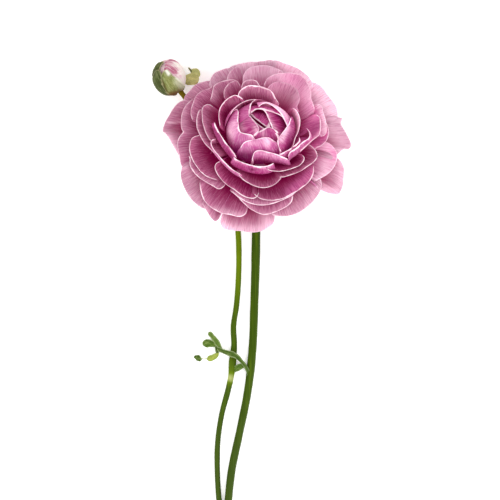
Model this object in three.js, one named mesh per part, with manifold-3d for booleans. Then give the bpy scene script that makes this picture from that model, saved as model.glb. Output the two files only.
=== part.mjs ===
// A cut ranunculus laid on a table: one open pink bloom on its stem, with a side shoot that carries a bud.
// Units are millimetres and +Z is up. The table is the plane z = 0, the cut end points to -Y and the bloom
// lies at +Y with its face up, its back petals resting on the table. The origin is the centre of the
// plant's footprint.
import * as THREE from "three";
import { mergeVertices } from "three/addons/utils/BufferGeometryUtils.js";
import Module from "manifold-3d";

const wasm = await Module();
wasm.setup();

// ---------------------------------------------------------------- driving dimensions

const BLOOM_SEAT = [3.6, 89.5, 16.5]; // top of the calyx, where the petals grow
const BLOOM_TILT = -27; // degrees: the bloom faces up, and leans away from its stem
const BLOOM_LEAN = 4; // degrees: and a little to the right
const OPEN_PETALS = 26;
const PETAL_THICK = 0.7;
const GOLDEN_ANGLE = Math.PI * (3 - Math.sqrt(5));
const SEPAL_THICK = 0.7;
const LEAF_THICK = 0.9;

// Points on the stalks' centre lines, [x, y, z, radius]. The stem runs from its cut end to the calyx.
const STEM = [
  [-14.4, -133, 1.9, 2.05],
  [-13.4, -112, 1.85, 2.0],
  [-11.9, -90, 1.75, 1.9],
  [-9.6, -66, 1.7, 1.85],
  [-5.9, -48, 1.7, 1.85],
  [-2.4, -31, 1.7, 1.85],
  [-0.5, -18, 1.8, 1.95],
  [0.8, -2.4, 1.8, 1.95],
  [1.3, 12, 1.8, 1.95],
  [1.9, 30, 1.85, 2.05],
  [2.3, 50, 1.9, 2.1],
  [2.6, 66, 2.0, 2.1],
  [2.8, 75.5, 3.0, 2.1],
  [3.0, 82.3, 6.0, 2.15],
  [3.2, 86.3, 10.2, 2.4],
  [3.44, 88.68, 14.98, 3.6],
];
// The side shoot leaves the stem near its foot, runs beside it and ends under the bud.
const SHOOT = [
  [-12.7, -108, 1.6, 1.5],
  [-13.6, -100, 1.3, 1.5],
  [-15.0, -86, 1.2, 1.4],
  [-16.3, -68, 1.15, 1.3],
  [-16.2, -52, 1.15, 1.3],
  [-14.2, -38, 1.15, 1.3],
  [-11.6, -27, 1.25, 1.4],
  [-10.0, -19.5, 1.6, 1.85],
  [-9.3, -13, 1.6, 1.85],
  [-8.6, -5, 1.3, 1.5],
  [-8.7, 4, 1.2, 1.35],
  [-7.2, 14, 1.2, 1.35],
  [-6.3, 25, 1.2, 1.35],
  [-6.0, 38, 1.2, 1.35],
  [-6.4, 50, 1.2, 1.35],
  [-8.2, 64, 1.2, 1.35],
  [-12.0, 79, 1.2, 1.35],
  [-18.6, 94, 1.2, 1.35],
  [-26.0, 106.6, 1.3, 1.35],
  [-30.6, 112.2, 2.2, 1.35],
  [-33.9, 115.1, 3.8, 1.5],
];
const BUD_SEAT = [-36.4, 116.9, 5.2]; // where the shoot meets the bud
const BUD_TILT = -66; // degrees: the bud lies on its side, its tip raised
const BUD_TURN = 17; // degrees to the left

// ---------------------------------------------------------------- petals

// The petals of the heart and of the bowl round it, from the inmost out. Each wraps the ones before it:
// azimuth in degrees, the widest distance from the axis, then the tip's distance and height, the half
// width, and how much further out its anticlockwise edge stands than the other.
const HEART = [
  { azimuth: 80, belly: 5.5, tip: [3.0, 21.5], half: 4.5, skew: 0 },
  { azimuth: 235, belly: 6.2, tip: [2.8, 21.0], half: 4.5, skew: 0 },
  { azimuth: 305, belly: 8.6, tip: [1.6, 23.2], half: 6.6, skew: 1.0 },
  { azimuth: 22, belly: 9.6, tip: [5.6, 24.2], half: 7.8, skew: 1.0 },
  { azimuth: 128, belly: 10.6, tip: [7.4, 24.6], half: 7.4, skew: -2.0 },
  { azimuth: 198, belly: 11.6, tip: [1.2, 26.0], half: 8.2, skew: 1.0 },
  { azimuth: 50, belly: 12.6, tip: [11.4, 25.6], half: 9.6, skew: 1.0 },
  { azimuth: 270, belly: 13.0, tip: [4.8, 25.4], half: 9.0, skew: 1.0 },
  { azimuth: 165, belly: 13.6, tip: [9.6, 25.2], half: 9.2, skew: 1.5 },
  { azimuth: 222, belly: 14.4, tip: [6.6, 25.0], half: 9.6, skew: 1.5 },
  { azimuth: 345, belly: 14.6, tip: [10.6, 24.0], half: 9.4, skew: 3.0 },
  { azimuth: 80, belly: 15.2, tip: [15.0, 25.2], half: 9.6, skew: 1.0 },
  { azimuth: 122, belly: 15.9, tip: [15.8, 25.2], half: 10.6, skew: 0.5 },
  { azimuth: 294, belly: 16.4, tip: [13.2, 22.8], half: 10.4, skew: 3.5 },
  { azimuth: 328, belly: 17.6, tip: [17.2, 24.2], half: 9.6, skew: 2.5 },
  { azimuth: 9, belly: 18.8, tip: [19.6, 25.4], half: 10.6, skew: 1.0 },
  { azimuth: 204, belly: 19.2, tip: [18.6, 24.4], half: 11.6, skew: 0.5 },
  { azimuth: 262, belly: 19.6, tip: [19.6, 23.4], half: 10.4, skew: 1.0 },
  { azimuth: 146, belly: 20.2, tip: [21.4, 23.6], half: 10.8, skew: 1.0 },
  { azimuth: 92, belly: 20.6, tip: [23.0, 23.4], half: 10.6, skew: 0.5 },
  { azimuth: 341, belly: 21.4, tip: [23.8, 22.2], half: 10.6, skew: 1.0 },
];

// The open petals beyond them, from the bowl (age 0) to the back of the bloom (age 1): the foot and tip,
// as distance from the axis and height, the slope of each in degrees, and the half width.
const HABIT = [
  { age: 0.0, foot: [4.5, 3.8], rise: 20, tip: [25.0, 20.6], end: 68, half: 11.0 },
  { age: 0.22, foot: [4.8, 3.2], rise: 15, tip: [30.0, 17.6], end: 44, half: 12.0 },
  { age: 0.5, foot: [5.0, 2.4], rise: 10, tip: [36.4, 13.2], end: 20, half: 12.8 },
  { age: 0.78, foot: [5.2, 1.8], rise: 7, tip: [42.0, 8.4], end: -2, half: 13.6 },
  { age: 0.9, foot: [5.2, 1.4], rise: 4, tip: [45.4, 4.8], end: -16, half: 13.8 },
  { age: 1.0, foot: [5.2, 1.0], rise: 2, tip: [46.6, 1.4], end: -28, half: 13.8 },
];
// The fringe, where each petal shows against the table: azimuth in degrees, age, and how far it reaches
// for its age.
const FRINGE = [
  [187, 0.8, 0.98],
  [308, 0.82, 0.96],
  [32, 0.84, 1.02],
  [282, 0.86, 0.9],
  [213, 0.87, 0.98],
  [4, 0.89, 0.99],
  [115, 0.9, 0.98],
  [238, 0.92, 0.98],
  [59, 0.93, 1.02],
  [147, 0.94, 0.96],
  [334, 0.95, 1.0],
  [86, 0.97, 1.01],
  [166, 0.98, 1.02],
  [268, 1.0, 0.99],
];
// The share of a petal's length that is left out, inside the core, and the most of it in millimetres.
const HEART_ROOT = 0.3;
const OPEN_ROOT = 0.38;
const CORE_REACH = 9.5;
const HEART_GRID = [4, 4]; // cells along and across a petal
const OPEN_GRID = [3, 5];
const SEPAL_GRID = [4, 3];

// A repeatable draw from 0 to 1 for petal number i and purpose k.
function draw(i, k) {
  const x = Math.sin(i * 12.9898 + k * 78.233) * 43758.5453;
  return x - Math.floor(x);
}

const mix = (a, b, f) => a + (b - a) * f;
const rad = THREE.MathUtils.degToRad;

// The midline of a petal that closes over the heart, as a curve in the (distance, height) plane.
function closedMidline({ belly, tip }) {
  const foot = [mix(2, 4.4, belly / 21), mix(7, 3.8, belly / 21)];
  const reach = (belly - (foot[0] + tip[0]) / 8) / 0.75;
  const incurve = Math.max(0, belly - tip[0]);
  return new THREE.CubicBezierCurve(
    new THREE.Vector2(...foot),
    new THREE.Vector2(reach, foot[1] + 1),
    new THREE.Vector2(reach, tip[1] - 5 + Math.min(6, incurve)),
    new THREE.Vector2(...tip),
  );
}

// The midline of an open petal of the given age.
function openMidline(foot, rise, tip, end) {
  const reach = 0.38 * Math.hypot(tip[0] - foot[0], tip[1] - foot[1]);
  return new THREE.CubicBezierCurve(
    new THREE.Vector2(...foot),
    new THREE.Vector2(foot[0] + reach * Math.cos(rise), foot[1] + reach * Math.sin(rise)),
    new THREE.Vector2(tip[0] - reach * Math.cos(end), tip[1] - reach * Math.sin(end)),
    new THREE.Vector2(...tip),
  );
}

function heartPetal(row) {
  return {
    azimuth: rad(row.azimuth),
    midline: closedMidline(row),
    root: HEART_ROOT,
    grid: HEART_GRID,
    half: row.half,
    skew: row.skew,
    flat: 0,
    wave: 0,
    phase: 0,
  };
}

function openPetal(i, age, azimuth, reach) {
  const next = Math.max(1, HABIT.findIndex((h) => h.age >= age));
  const [a, b] = [HABIT[next - 1], HABIT[next]];
  const f = (age - a.age) / (b.age - a.age);
  const foot = [mix(a.foot[0], b.foot[0], f), mix(a.foot[1], b.foot[1], f)];
  const tip = [mix(a.tip[0], b.tip[0], f) * reach, mix(a.tip[1], b.tip[1], f) + draw(i, 2) - 0.5];
  return {
    azimuth,
    midline: openMidline(foot, rad(mix(a.rise, b.rise, f)), tip, rad(mix(a.end, b.end, f))),
    root: Math.min(OPEN_ROOT, CORE_REACH / (tip[0] - foot[0])),
    grid: OPEN_GRID,
    half: mix(a.half, b.half, f) * (1 + 0.14 * (draw(i, 4) - 0.5)),
    skew: 0,
    flat: 0.15 * age,
    wave: 0.2 + age * age * (0.2 + 0.8 * draw(i, 5)),
    phase: 2 * Math.PI * draw(i, 6),
  };
}

// All the petals: the heart, then the open ones a golden angle apart, then the fringe.
function allPetals() {
  const open = Array.from({ length: OPEN_PETALS }, (_, i) => {
    const azimuth = i * GOLDEN_ANGLE + 0.14 * (draw(i, 3) - 0.5);
    return openPetal(i, (FRINGE[0][1] * i) / OPEN_PETALS, azimuth, 1 + 0.05 * (draw(i, 1) - 0.5));
  });
  const fringe = FRINGE.map(([azimuth, age, reach], k) =>
    openPetal(OPEN_PETALS + k, age, rad(azimuth), reach),
  );
  return [...HEART.map(heartPetal), ...open, ...fringe];
}

// How wide a petal is along its length, as a share of its full half width: a narrow foot, a broad blade.
const breadth = (s) => 0.15 + 0.85 * Math.sin((Math.PI / 2) * Math.min(1, s / 0.72)) ** 2;
// Where the rim lies along the length, for a place across the petal from -1 to 1: a rounded outline.
const rim = (c) => 0.58 + 0.42 * Math.sqrt(Math.max(0, 1 - Math.abs(c) ** 2.3));

// A point of a petal's middle surface: s runs along it from foot to tip and c across it from -1 to 1.
function petalPoint(petal, s, c) {
  const m = petal.midline.getPoint(s);
  const slope = petal.midline.getTangent(s);
  const x = c * petal.half * breadth(s);
  const far = m.x + petal.skew * c * s * s;
  // Petals of the heart wrap round the axis, and open ones lie flatter.
  const bend = Math.max(m.x * (1 + petal.flat), petal.half / 1.3);
  const lift = petal.wave * s * s * Math.sin(4.5 * c + petal.phase);
  const out = far - bend + bend * Math.cos(x / bend) - lift * slope.y;
  const side = bend * Math.sin(x / bend);
  return new THREE.Vector3(
    out * Math.cos(petal.azimuth) - side * Math.sin(petal.azimuth),
    out * Math.sin(petal.azimuth) + side * Math.cos(petal.azimuth),
    m.y + lift * slope.x,
  );
}

// ---------------------------------------------------------------- solids

const solidOf = (geometry) => {
  const bare = geometry.index ? geometry.toNonIndexed() : geometry.clone();
  for (const name of Object.keys(bare.attributes)) if (name !== "position") bare.deleteAttribute(name);
  const merged = mergeVertices(bare, 1e-4);
  return new wasm.Manifold(
    new wasm.Mesh({
      numProp: 3,
      vertProperties: merged.attributes.position.array,
      triVerts: new Uint32Array(merged.index.array),
    }),
  );
};

const solidFrom = (points, faces) => {
  const geometry = new THREE.BufferGeometry();
  geometry.setAttribute("position", new THREE.Float32BufferAttribute(points.flatMap((p) => [...p]), 3));
  geometry.setIndex(faces);
  return solidOf(geometry);
};

const geometryOf = (solid) => {
  const mesh = solid.getMesh();
  const geometry = new THREE.BufferGeometry();
  geometry.setAttribute("position", new THREE.BufferAttribute(mesh.vertProperties, 3));
  geometry.setIndex(new THREE.BufferAttribute(mesh.triVerts, 1));
  const facets = geometry.toNonIndexed();
  facets.computeVertexNormals();
  return facets;
};

// Joins solids to one body: pockets that the join seals are filled, and loose scraps are dropped.
function fuse(first, ...others) {
  const bodies = others.reduce((all, one) => all.add(one), first).decompose();
  return bodies.reduce((most, body) => (body.volume() > most.volume() ? body : most));
}

const onTable = (p) => p.setZ(Math.max(0, p.z));

// A closed blade of even thickness from a grid of points on its middle surface, split into triangles
// alike on both faces. settle, where given, moves each finished corner.
function blade(rows, thickness, settle = (p) => p) {
  const [nr, nc] = [rows.length, rows[0].length];
  const at = (r, c) => rows[Math.min(nr - 1, Math.max(0, r))][Math.min(nc - 1, Math.max(0, c))];
  const corners = [[], []];
  for (let r = 0; r < nr; r++)
    for (let c = 0; c < nc; c++) {
      const along = at(r + 1, c).clone().sub(at(r - 1, c));
      const across = at(r, c + 1).clone().sub(at(r, c - 1));
      const normal = across.cross(along).normalize();
      for (const face of [0, 1]) {
        const p = at(r, c).clone().addScaledVector(normal, (face - 0.5) * thickness);
        corners[face].push(settle(p));
      }
    }
  const points = [...corners[0], ...corners[1]];
  const id = (face, r, c) => face * nr * nc + r * nc + c;
  const faces = [];
  const quad = (a, b, c, d) => faces.push(a, b, c, a, c, d);
  for (let r = 0; r < nr - 1; r++)
    for (let c = 0; c < nc - 1; c++) {
      quad(id(1, r, c), id(1, r, c + 1), id(1, r + 1, c + 1), id(1, r + 1, c));
      const [p, q, t, u] = [id(0, r, c), id(0, r, c + 1), id(0, r + 1, c + 1), id(0, r + 1, c)];
      faces.push(p, t, q, p, u, t);
    }
  for (let c = 0; c < nc - 1; c++) {
    quad(id(0, 0, c), id(0, 0, c + 1), id(1, 0, c + 1), id(1, 0, c));
    quad(id(1, nr - 1, c), id(1, nr - 1, c + 1), id(0, nr - 1, c + 1), id(0, nr - 1, c));
  }
  for (let r = 0; r < nr - 1; r++) {
    quad(id(1, r, 0), id(1, r + 1, 0), id(0, r + 1, 0), id(0, r, 0));
    quad(id(0, r, nc - 1), id(0, r + 1, nc - 1), id(1, r + 1, nc - 1), id(1, r, nc - 1));
  }
  return solidFrom(points, faces);
}

// A stalk through points [x, y, z, radius], flattened a little where it lies on the table.
function stalk(nodes, steps, sides) {
  const curve = new THREE.CatmullRomCurve3(nodes.map((n) => new THREE.Vector3(n[0], n[1], n[2])));
  const points = [];
  for (let k = 0; k <= steps; k++) {
    const t = k / steps;
    const place = Math.min(nodes.length - 2, Math.floor(t * (nodes.length - 1)));
    const radius = mix(nodes[place][3], nodes[place + 1][3], t * (nodes.length - 1) - place);
    const side = curve.getTangent(t).cross(new THREE.Vector3(0, 0, 1)).normalize();
    const up = side.clone().cross(curve.getTangent(t)).normalize();
    for (let j = 0; j < sides; j++) {
      const a = (2 * Math.PI * (j + 0.5)) / sides - Math.PI / 2;
      const p = curve.getPoint(t);
      p.addScaledVector(side, radius * Math.cos(a)).addScaledVector(up, radius * Math.sin(a));
      points.push(onTable(p));
    }
  }
  const last = steps * sides;
  const faces = [];
  for (let k = 0; k < steps; k++)
    for (let j = 0; j < sides; j++) {
      const [a, b] = [k * sides + j, k * sides + ((j + 1) % sides)];
      faces.push(a, b + sides, b, a, a + sides, b + sides);
    }
  for (let j = 1; j < sides - 1; j++) faces.push(0, j, j + 1, last, last + j + 1, last + j);
  return solidFrom(points, faces);
}

// A flat lobe through points [x, y, z, half width], a little folded along its midrib.
function lobe(nodes, steps) {
  const curve = new THREE.CatmullRomCurve3(nodes.map((n) => new THREE.Vector3(n[0], n[1], n[2])));
  const rows = [];
  for (let k = 0; k <= steps; k++) {
    const t = k / steps;
    const place = Math.min(nodes.length - 2, Math.floor(t * (nodes.length - 1)));
    const half = mix(nodes[place][3], nodes[place + 1][3], t * (nodes.length - 1) - place);
    const side = curve.getTangent(t).cross(new THREE.Vector3(0, 0, 1)).normalize();
    rows.push([-1, 0, 1].map((c) => {
      const p = curve.getPoint(t).addScaledVector(side, c * half);
      p.z += 0.3 * half * Math.abs(c);
      return p;
    }));
  }
  return blade(rows, LEAF_THICK, onTable);
}

// A solid turned round the axis from a profile of (distance, height) points.
function turned(profile, segments) {
  const geometry = new THREE.LatheGeometry(profile.map((p) => new THREE.Vector2(...p)), segments);
  return solidOf(geometry.rotateX(Math.PI / 2));
}

// ---------------------------------------------------------------- the bloom

const frameAt = (seat, tilt, turn) =>
  new THREE.Matrix4()
    .makeTranslation(...seat)
    .multiply(new THREE.Matrix4().makeRotationZ(rad(turn)))
    .multiply(new THREE.Matrix4().makeRotationX(rad(tilt)));

const bloomFrame = frameAt(BLOOM_SEAT, BLOOM_TILT, -BLOOM_LEAN);
const tableFrame = bloomFrame.clone().invert();

// How high the table is under a place, the side shoot counting as part of it.
const SHOOT_LINE = new THREE.CatmullRomCurve3(
  SHOOT.slice(-6).map((n) => new THREE.Vector3(n[0], n[1], 0)),
).getPoints(40);
function restHeight(x, y) {
  const near = Math.min(...SHOOT_LINE.map((q) => Math.hypot(q.x - x, q.y - y)));
  return 3.6 * Math.exp(-((near / 5) ** 4));
}

// Petals that reach the table or the side shoot lie along it.
function bendToTable(point) {
  const p = point.applyMatrix4(bloomFrame);
  const low = PETAL_THICK / 2 + restHeight(p.x, p.y);
  p.z = low + (p.z - low + Math.hypot(p.z - low, 0.8)) / 2 - 0.16;
  return p.applyMatrix4(tableFrame);
}

const keepAboveTable = (point) => onTable(point.applyMatrix4(bloomFrame)).applyMatrix4(tableFrame);

// A petal's middle surface as rows of points, rim last. s starts from the petal's root.
function petalGrid(petal, settle = (p) => p) {
  const [rows, columns] = petal.grid;
  return Array.from({ length: rows + 1 }, (_, r) =>
    Array.from({ length: columns + 1 }, (_, k) => {
      const c = Math.sin((Math.PI / 2) * ((2 * k) / columns - 1));
      return settle(petalPoint(petal, mix(petal.root, rim(c), r / rows), c));
    }),
  );
}

const petalSolid = (petal) => blade(petalGrid(petal, bendToTable), PETAL_THICK, keepAboveTable);

function bloomPetals() {
  const core = turned(
    [[0, 0.7], [6, 0.7], [15.5, 1.2], [17.8, 4.0], [16.5, 8.5], [10, 12.5], [5, 14.5], [0, 15.5]],
    16,
  );
  return geometryOf(fuse(core, ...allPetals().map(petalSolid)));
}

// ---------------------------------------------------------------- calyx, bud and leaves

// A sepal: control points of its midline as (distance, height), its azimuth in degrees and half width.
function sepal(points, azimuth, half, settle) {
  const shape = {
    azimuth: rad(azimuth),
    midline: new THREE.CubicBezierCurve(...points.map((p) => new THREE.Vector2(...p))),
    root: 0,
    grid: SEPAL_GRID,
    half,
    skew: 0,
    flat: 0,
    wave: 0,
    phase: 0,
  };
  return blade(petalGrid(shape), SEPAL_THICK, settle);
}

// The calyx under the bloom: a disc with five sepals bent back.
function calyx() {
  const disc = turned([[0, -1.4], [4.2, -1.2], [5.6, -0.4], [5.0, 0.4], [0, 0.4]], 20);
  const sepals = [0, 1, 2, 3, 4].map((k) =>
    sepal([[3.6, -0.5], [8, 0.0], [12, -2.0], [15.5, -6.0]], 54 + 72 * k, 5.2),
  );
  return geometryOf(fuse(disc, ...sepals));
}

const budFrame = frameAt(BUD_SEAT, BUD_TILT, BUD_TURN);
const budTable = budFrame.clone().invert();
const budAboveTable = (point) => onTable(point.applyMatrix4(budFrame)).applyMatrix4(budTable);

// The bud's sepals round its base: the one in front, one to the left, two beneath, and one bent away.
function budSepals() {
  const disc = turned([[0, 0], [1.8, 0.1], [2.8, 0.8], [2.4, 1.3], [0, 1.2]], 12);
  const bentAway = lobe(
    [[-35.9, 117.4, 4.6, 1.2], [-33.2, 118.6, 2.7, 1.8], [-30.7, 120.3, 3.6, 2.2],
     [-29.1, 122.4, 5.6, 2.8], [-28.6, 124.7, 7.2, 3.0], [-28.9, 127.0, 8.4, 2.5],
     [-29.5, 128.6, 9.0, 1.3]],
    8,
  );
  return geometryOf(
    fuse(
      disc,
      sepal([[1.6, 0.6], [9.8, 0.8], [9.4, 7.6], [7.4, 11.0]], 290, 6.2, budAboveTable),
      sepal([[1.6, 0.6], [9.8, 0.4], [10.4, 10.0], [4.8, 15.2]], 205, 6.6, budAboveTable),
      sepal([[1.6, 0.6], [9.4, 0.8], [9.6, 8.0], [6.6, 13.0]], 128, 6.0, budAboveTable),
      sepal([[1.6, 0.6], [9.4, 0.8], [9.8, 8.0], [7.6, 12.0]], 58, 5.6, budAboveTable),
      bentAway.transform(budTable.elements),
    ),
  );
}

// The petals of the bud, furled into a ball.
function budPetals() {
  const core = turned([[0, 1.7], [3, 2.2], [4.6, 4.6], [4.6, 8.6], [3.4, 12], [1.6, 14], [0, 14.6]], 12);
  const furled = [0, 1, 2, 3].map((k) =>
    sepal([[2.2, 2.2], [6.2 + 0.5 * k, 2.6], [5.9 + 0.45 * k, 12.6], [1.2 + 0.7 * k, 15.8 - 0.3 * k]],
      325 + 137.5 * k, 6.2),
  );
  return geometryOf(fuse(core, ...furled));
}

// The cut leaf at the stem's middle joint: its stalk crosses over the side shoot and ends in lobes.
function leaf() {
  return geometryOf(
    fuse(
      lobe([[-3.5, -17.3, 2.7, 1.1], [-5.4, -12.6, 3.9, 0.95], [-9.2, -9.0, 4.4, 0.9],
            [-13.2, -7.6, 2.8, 1.0], [-16.6, -5.2, 1.2, 1.0]], 8),
      lobe([[-15.6, -6.2, 1.6, 1.0], [-17.4, -2.6, 0.8, 1.1], [-20.0, 1.6, 0.7, 0.9]], 5),
      lobe([[-16.4, -4.8, 1.2, 0.8], [-19.6, -4.4, 0.8, 1.7], [-23.0, -4.2, 0.7, 1.7],
            [-24.2, -4.3, 0.7, 0.8]], 5),
      lobe([[-14.8, -7.2, 1.9, 0.7], [-17.6, -9.2, 0.9, 1.2], [-20.8, -11.0, 0.7, 1.1],
            [-24.0, -10.6, 0.7, 0.7], [-26.4, -11.2, 0.7, 1.3], [-27.4, -10.6, 0.7, 0.6]], 8),
    ),
  );
}

// The small leaf at the side shoot's joint.
function shootLeaf() {
  return geometryOf(
    fuse(lobe([[-6.8, -18.0, 1.4, 0.9], [-5.4, -16.6, 1.2, 1.1], [-3.9, -15.6, 1.0, 0.7]], 4)),
  );
}

// ---------------------------------------------------------------- assembly

const look = (color, roughness) => new THREE.MeshStandardMaterial({ color, roughness, metalness: 0 });
const petalPink = look(0xc77bab, 0.6);
const budPink = look(0xe3c2cf, 0.6);
const stemGreen = look(0x50702a, 0.55);
const sepalGreen = look(0x7e8a4e, 0.6);
const leafGreen = look(0x5f8038, 0.55);

function piece(name, geometry, material) {
  const mesh = new THREE.Mesh(geometry, material);
  mesh.name = name;
  return mesh;
}

const bloom = new THREE.Group();
bloom.applyMatrix4(bloomFrame);
bloom.add(piece("flower_petals", bloomPetals(), petalPink), piece("flower_calyx", calyx(), sepalGreen));

const bud = new THREE.Group();
bud.applyMatrix4(budFrame);
bud.add(piece("bud_petals", budPetals(), budPink), piece("bud_sepals", budSepals(), sepalGreen));

const ranunculus = new THREE.Group();
ranunculus.add(bloom, bud);
ranunculus.add(piece("stem", geometryOf(fuse(stalk(STEM, 30, 9), stalk(SHOOT, 38, 7))), stemGreen));
ranunculus.add(piece("leaf", leaf(), leafGreen), piece("shoot_leaf", shootLeaf(), leafGreen));

export default ranunculus;
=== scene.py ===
# A cut ranunculus laid on a pale table: an open mauve-pink bloom, and a side shoot with a bud.
# Shapes are worked out in millimetres and written into the meshes in metres. The table is the plane z = 0,
# the cut end points to -Y, and the bloom lies at +Y with its face up.
import math

import bpy
import numpy as np
from mathutils import Matrix, Vector


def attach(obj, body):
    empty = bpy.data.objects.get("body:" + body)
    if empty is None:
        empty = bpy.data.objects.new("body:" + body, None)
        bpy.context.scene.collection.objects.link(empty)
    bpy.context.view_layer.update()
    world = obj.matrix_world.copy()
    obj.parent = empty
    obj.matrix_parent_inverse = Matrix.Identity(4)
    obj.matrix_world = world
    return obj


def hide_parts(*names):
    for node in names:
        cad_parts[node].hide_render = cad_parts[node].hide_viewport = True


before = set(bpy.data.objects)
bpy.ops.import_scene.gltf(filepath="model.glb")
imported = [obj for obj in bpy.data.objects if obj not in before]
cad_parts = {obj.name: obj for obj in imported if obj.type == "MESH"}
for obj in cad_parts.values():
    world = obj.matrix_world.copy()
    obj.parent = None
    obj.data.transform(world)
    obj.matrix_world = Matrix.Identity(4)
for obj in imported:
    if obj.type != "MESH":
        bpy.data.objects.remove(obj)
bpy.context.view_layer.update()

MM = 0.001

# ---------------------------------------------------------------- camera and light

VIEW_CENTRE = (-0.62, 40.8)  # the middle of the picture, on the table
VIEW_WIDTH = 240.0  # what the picture shows across, at the height of the bloom's rim
VIEW_HEIGHT = 4800.0
BLOOM_HEIGHT = 12.0
FILM_WIDTH = 36.0
LIT_PLACE = (0, 0.08, 0)  # where the lamps point, in metres
LAMPS = [("window", (0.75, -0.45, 1.1), 9.0), ("reflector", (-0.8, -0.35, 0.95), 5.5)]
LAMP_SIZE = 0.9


def make_camera():
    data = bpy.data.cameras.new("overhead")
    data.sensor_width = FILM_WIDTH
    data.lens = FILM_WIDTH * VIEW_HEIGHT / VIEW_WIDTH
    data.clip_end = 20.0
    camera = bpy.data.objects.new("overhead", data)
    camera.location = (VIEW_CENTRE[0] * MM, VIEW_CENTRE[1] * MM, (VIEW_HEIGHT + BLOOM_HEIGHT) * MM)
    bpy.context.scene.collection.objects.link(camera)
    bpy.context.scene.camera = camera


def make_light():
    world = bpy.data.worlds.new("pale room")
    world.use_nodes = True
    world.node_tree.nodes["Background"].inputs["Color"].default_value = (1.0, 0.99, 0.98, 1.0)
    world.node_tree.nodes["Background"].inputs["Strength"].default_value = 1.0
    bpy.context.scene.world = world
    for name, place, watts in LAMPS:
        data = bpy.data.lights.new(name, "AREA")
        data.shape = "DISK"
        data.size = LAMP_SIZE
        data.energy = watts
        lamp = bpy.data.objects.new(name, data)
        lamp.location = place
        lamp.rotation_euler = (Vector(LIT_PLACE) - Vector(place)).to_track_quat("-Z", "Y").to_euler()
        lamp.visible_camera = False
        bpy.context.scene.collection.objects.link(lamp)
    bpy.context.scene.view_settings.view_transform = "Standard"


make_camera()
make_light()

# ---------------------------------------------------------------- node trees

SOCKETS = {"float": "NodeSocketFloat", "vector": "NodeSocketVector", "count": "NodeSocketInt",
           "geometry": "NodeSocketGeometry", "material": "NodeSocketMaterial"}


def named_group(name, tree_kind, inputs, outputs):
    """An empty node group with named sockets of several kinds and first values, and its two end nodes."""
    tree = bpy.data.node_groups.new(name, tree_kind)
    for socket, kind, value in inputs:
        made = tree.interface.new_socket(socket, in_out="INPUT", socket_type=SOCKETS[kind])
        if value is not None:
            made.default_value = value
    for socket, kind in outputs:
        tree.interface.new_socket(socket, in_out="OUTPUT", socket_type=SOCKETS[kind])
    return tree, tree.nodes.new("NodeGroupInput").outputs, tree.nodes.new("NodeGroupOutput").inputs


def feed(tree, socket, value):
    if isinstance(value, bpy.types.NodeSocket):
        tree.links.new(value, socket)
    else:
        socket.default_value = value


def put(tree, kind, inputs=(), **settings):
    """Adds a node, with its settings, and its inputs by name or number."""
    node = tree.nodes.new(kind)
    for name, value in settings.items():
        setattr(node, name, value)
    for name, value in dict(inputs).items():
        feed(tree, node.inputs[name], value)
    return node


def maths(tree, operation, a, b=0.0, clamp=False):
    return put(tree, "ShaderNodeMath", {0: a, 1: b}, operation=operation, use_clamp=clamp).outputs[0]


def times(tree, a, b):
    return maths(tree, "MULTIPLY", a, b)


def between(tree, value, low, high, to_low=0.0, to_high=1.0):
    """Leads smoothly from one value to another while the given value runs from low to high."""
    node = put(tree, "ShaderNodeMapRange", {0: value, 1: low, 2: high, 3: to_low, 4: to_high})
    node.interpolation_type = "SMOOTHSTEP"
    return node.outputs[0]


# ---------------------------------------------------------------- materials


def tone(red, green, blue):
    """A colour given as it looks on screen, 0 to 255, in the linear values that shaders take."""
    line = [(v / 255 / 12.92) if v <= 10 else ((v / 255 + 0.055) / 1.055) ** 2.4 for v in (red, green, blue)]
    return (*line, 1.0)


def blend(tree, factor, a, b, how="MIX"):
    """Mixes two colours, each a socket or three screen values."""
    a, b = [c if isinstance(c, bpy.types.NodeSocket) else tone(*c) for c in (a, b)]
    return put(tree, "ShaderNodeMix", {0: factor, 6: a, 7: b}, data_type="RGBA", blend_type=how).outputs[2]


def ramp(tree, value, *stops):
    """A run of colours, each stop as its place from 0 to 1 and three screen values."""
    node = put(tree, "ShaderNodeValToRGB", {0: value})
    points = node.color_ramp.elements
    while len(points) < len(stops):
        points.new(0.5)
    for point, (place, *colour) in zip(points, stops):
        point.position = place
        point.color = tone(*colour)
    return node.outputs[0]


def reading(tree, name):
    return put(tree, "ShaderNodeAttribute", attribute_name=name).outputs["Fac"]


def own_place(tree):
    return put(tree, "ShaderNodeTexCoord").outputs["Object"]


def noise(tree, place, scale, detail, roughness=0.5, distortion=0.0):
    return put(tree, "ShaderNodeTexNoise", {
        "Vector": place, "Scale": scale, "Detail": detail, "Roughness": roughness, "Distortion": distortion,
    }).outputs[0]


def effect(name, inputs, outputs):
    return named_group(name, "ShaderNodeTree", inputs, [(socket, "float") for socket in outputs])


def use(tree, group, inputs):
    return put(tree, "ShaderNodeGroup", inputs, node_tree=group).outputs


def make_vein_effect():
    """Fine lines that run from a petal's foot to its rim, in two sizes."""
    tree, given, out = effect("petal veins", [
        ("Across", "float", 0.0), ("Along", "float", 0.0), ("Lot", "float", 0.0), ("Count", "float", 20.0),
    ], ["Broad", "Fine"])
    lot = times(tree, given["Lot"], 41.0)
    for socket, share, drift in (("Broad", 1.0, 3.8), ("Fine", 2.3, 9.0)):
        place = put(tree, "ShaderNodeCombineXYZ", {
            0: times(tree, given["Across"], times(tree, given["Count"], share)),
            1: times(tree, given["Along"], drift),
            2: lot,
        }).outputs[0]
        feed(tree, out[socket], between(tree, noise(tree, place, 1.0, 2.0, 0.55, 0.3), 0.34, 0.66))
    return tree


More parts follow.
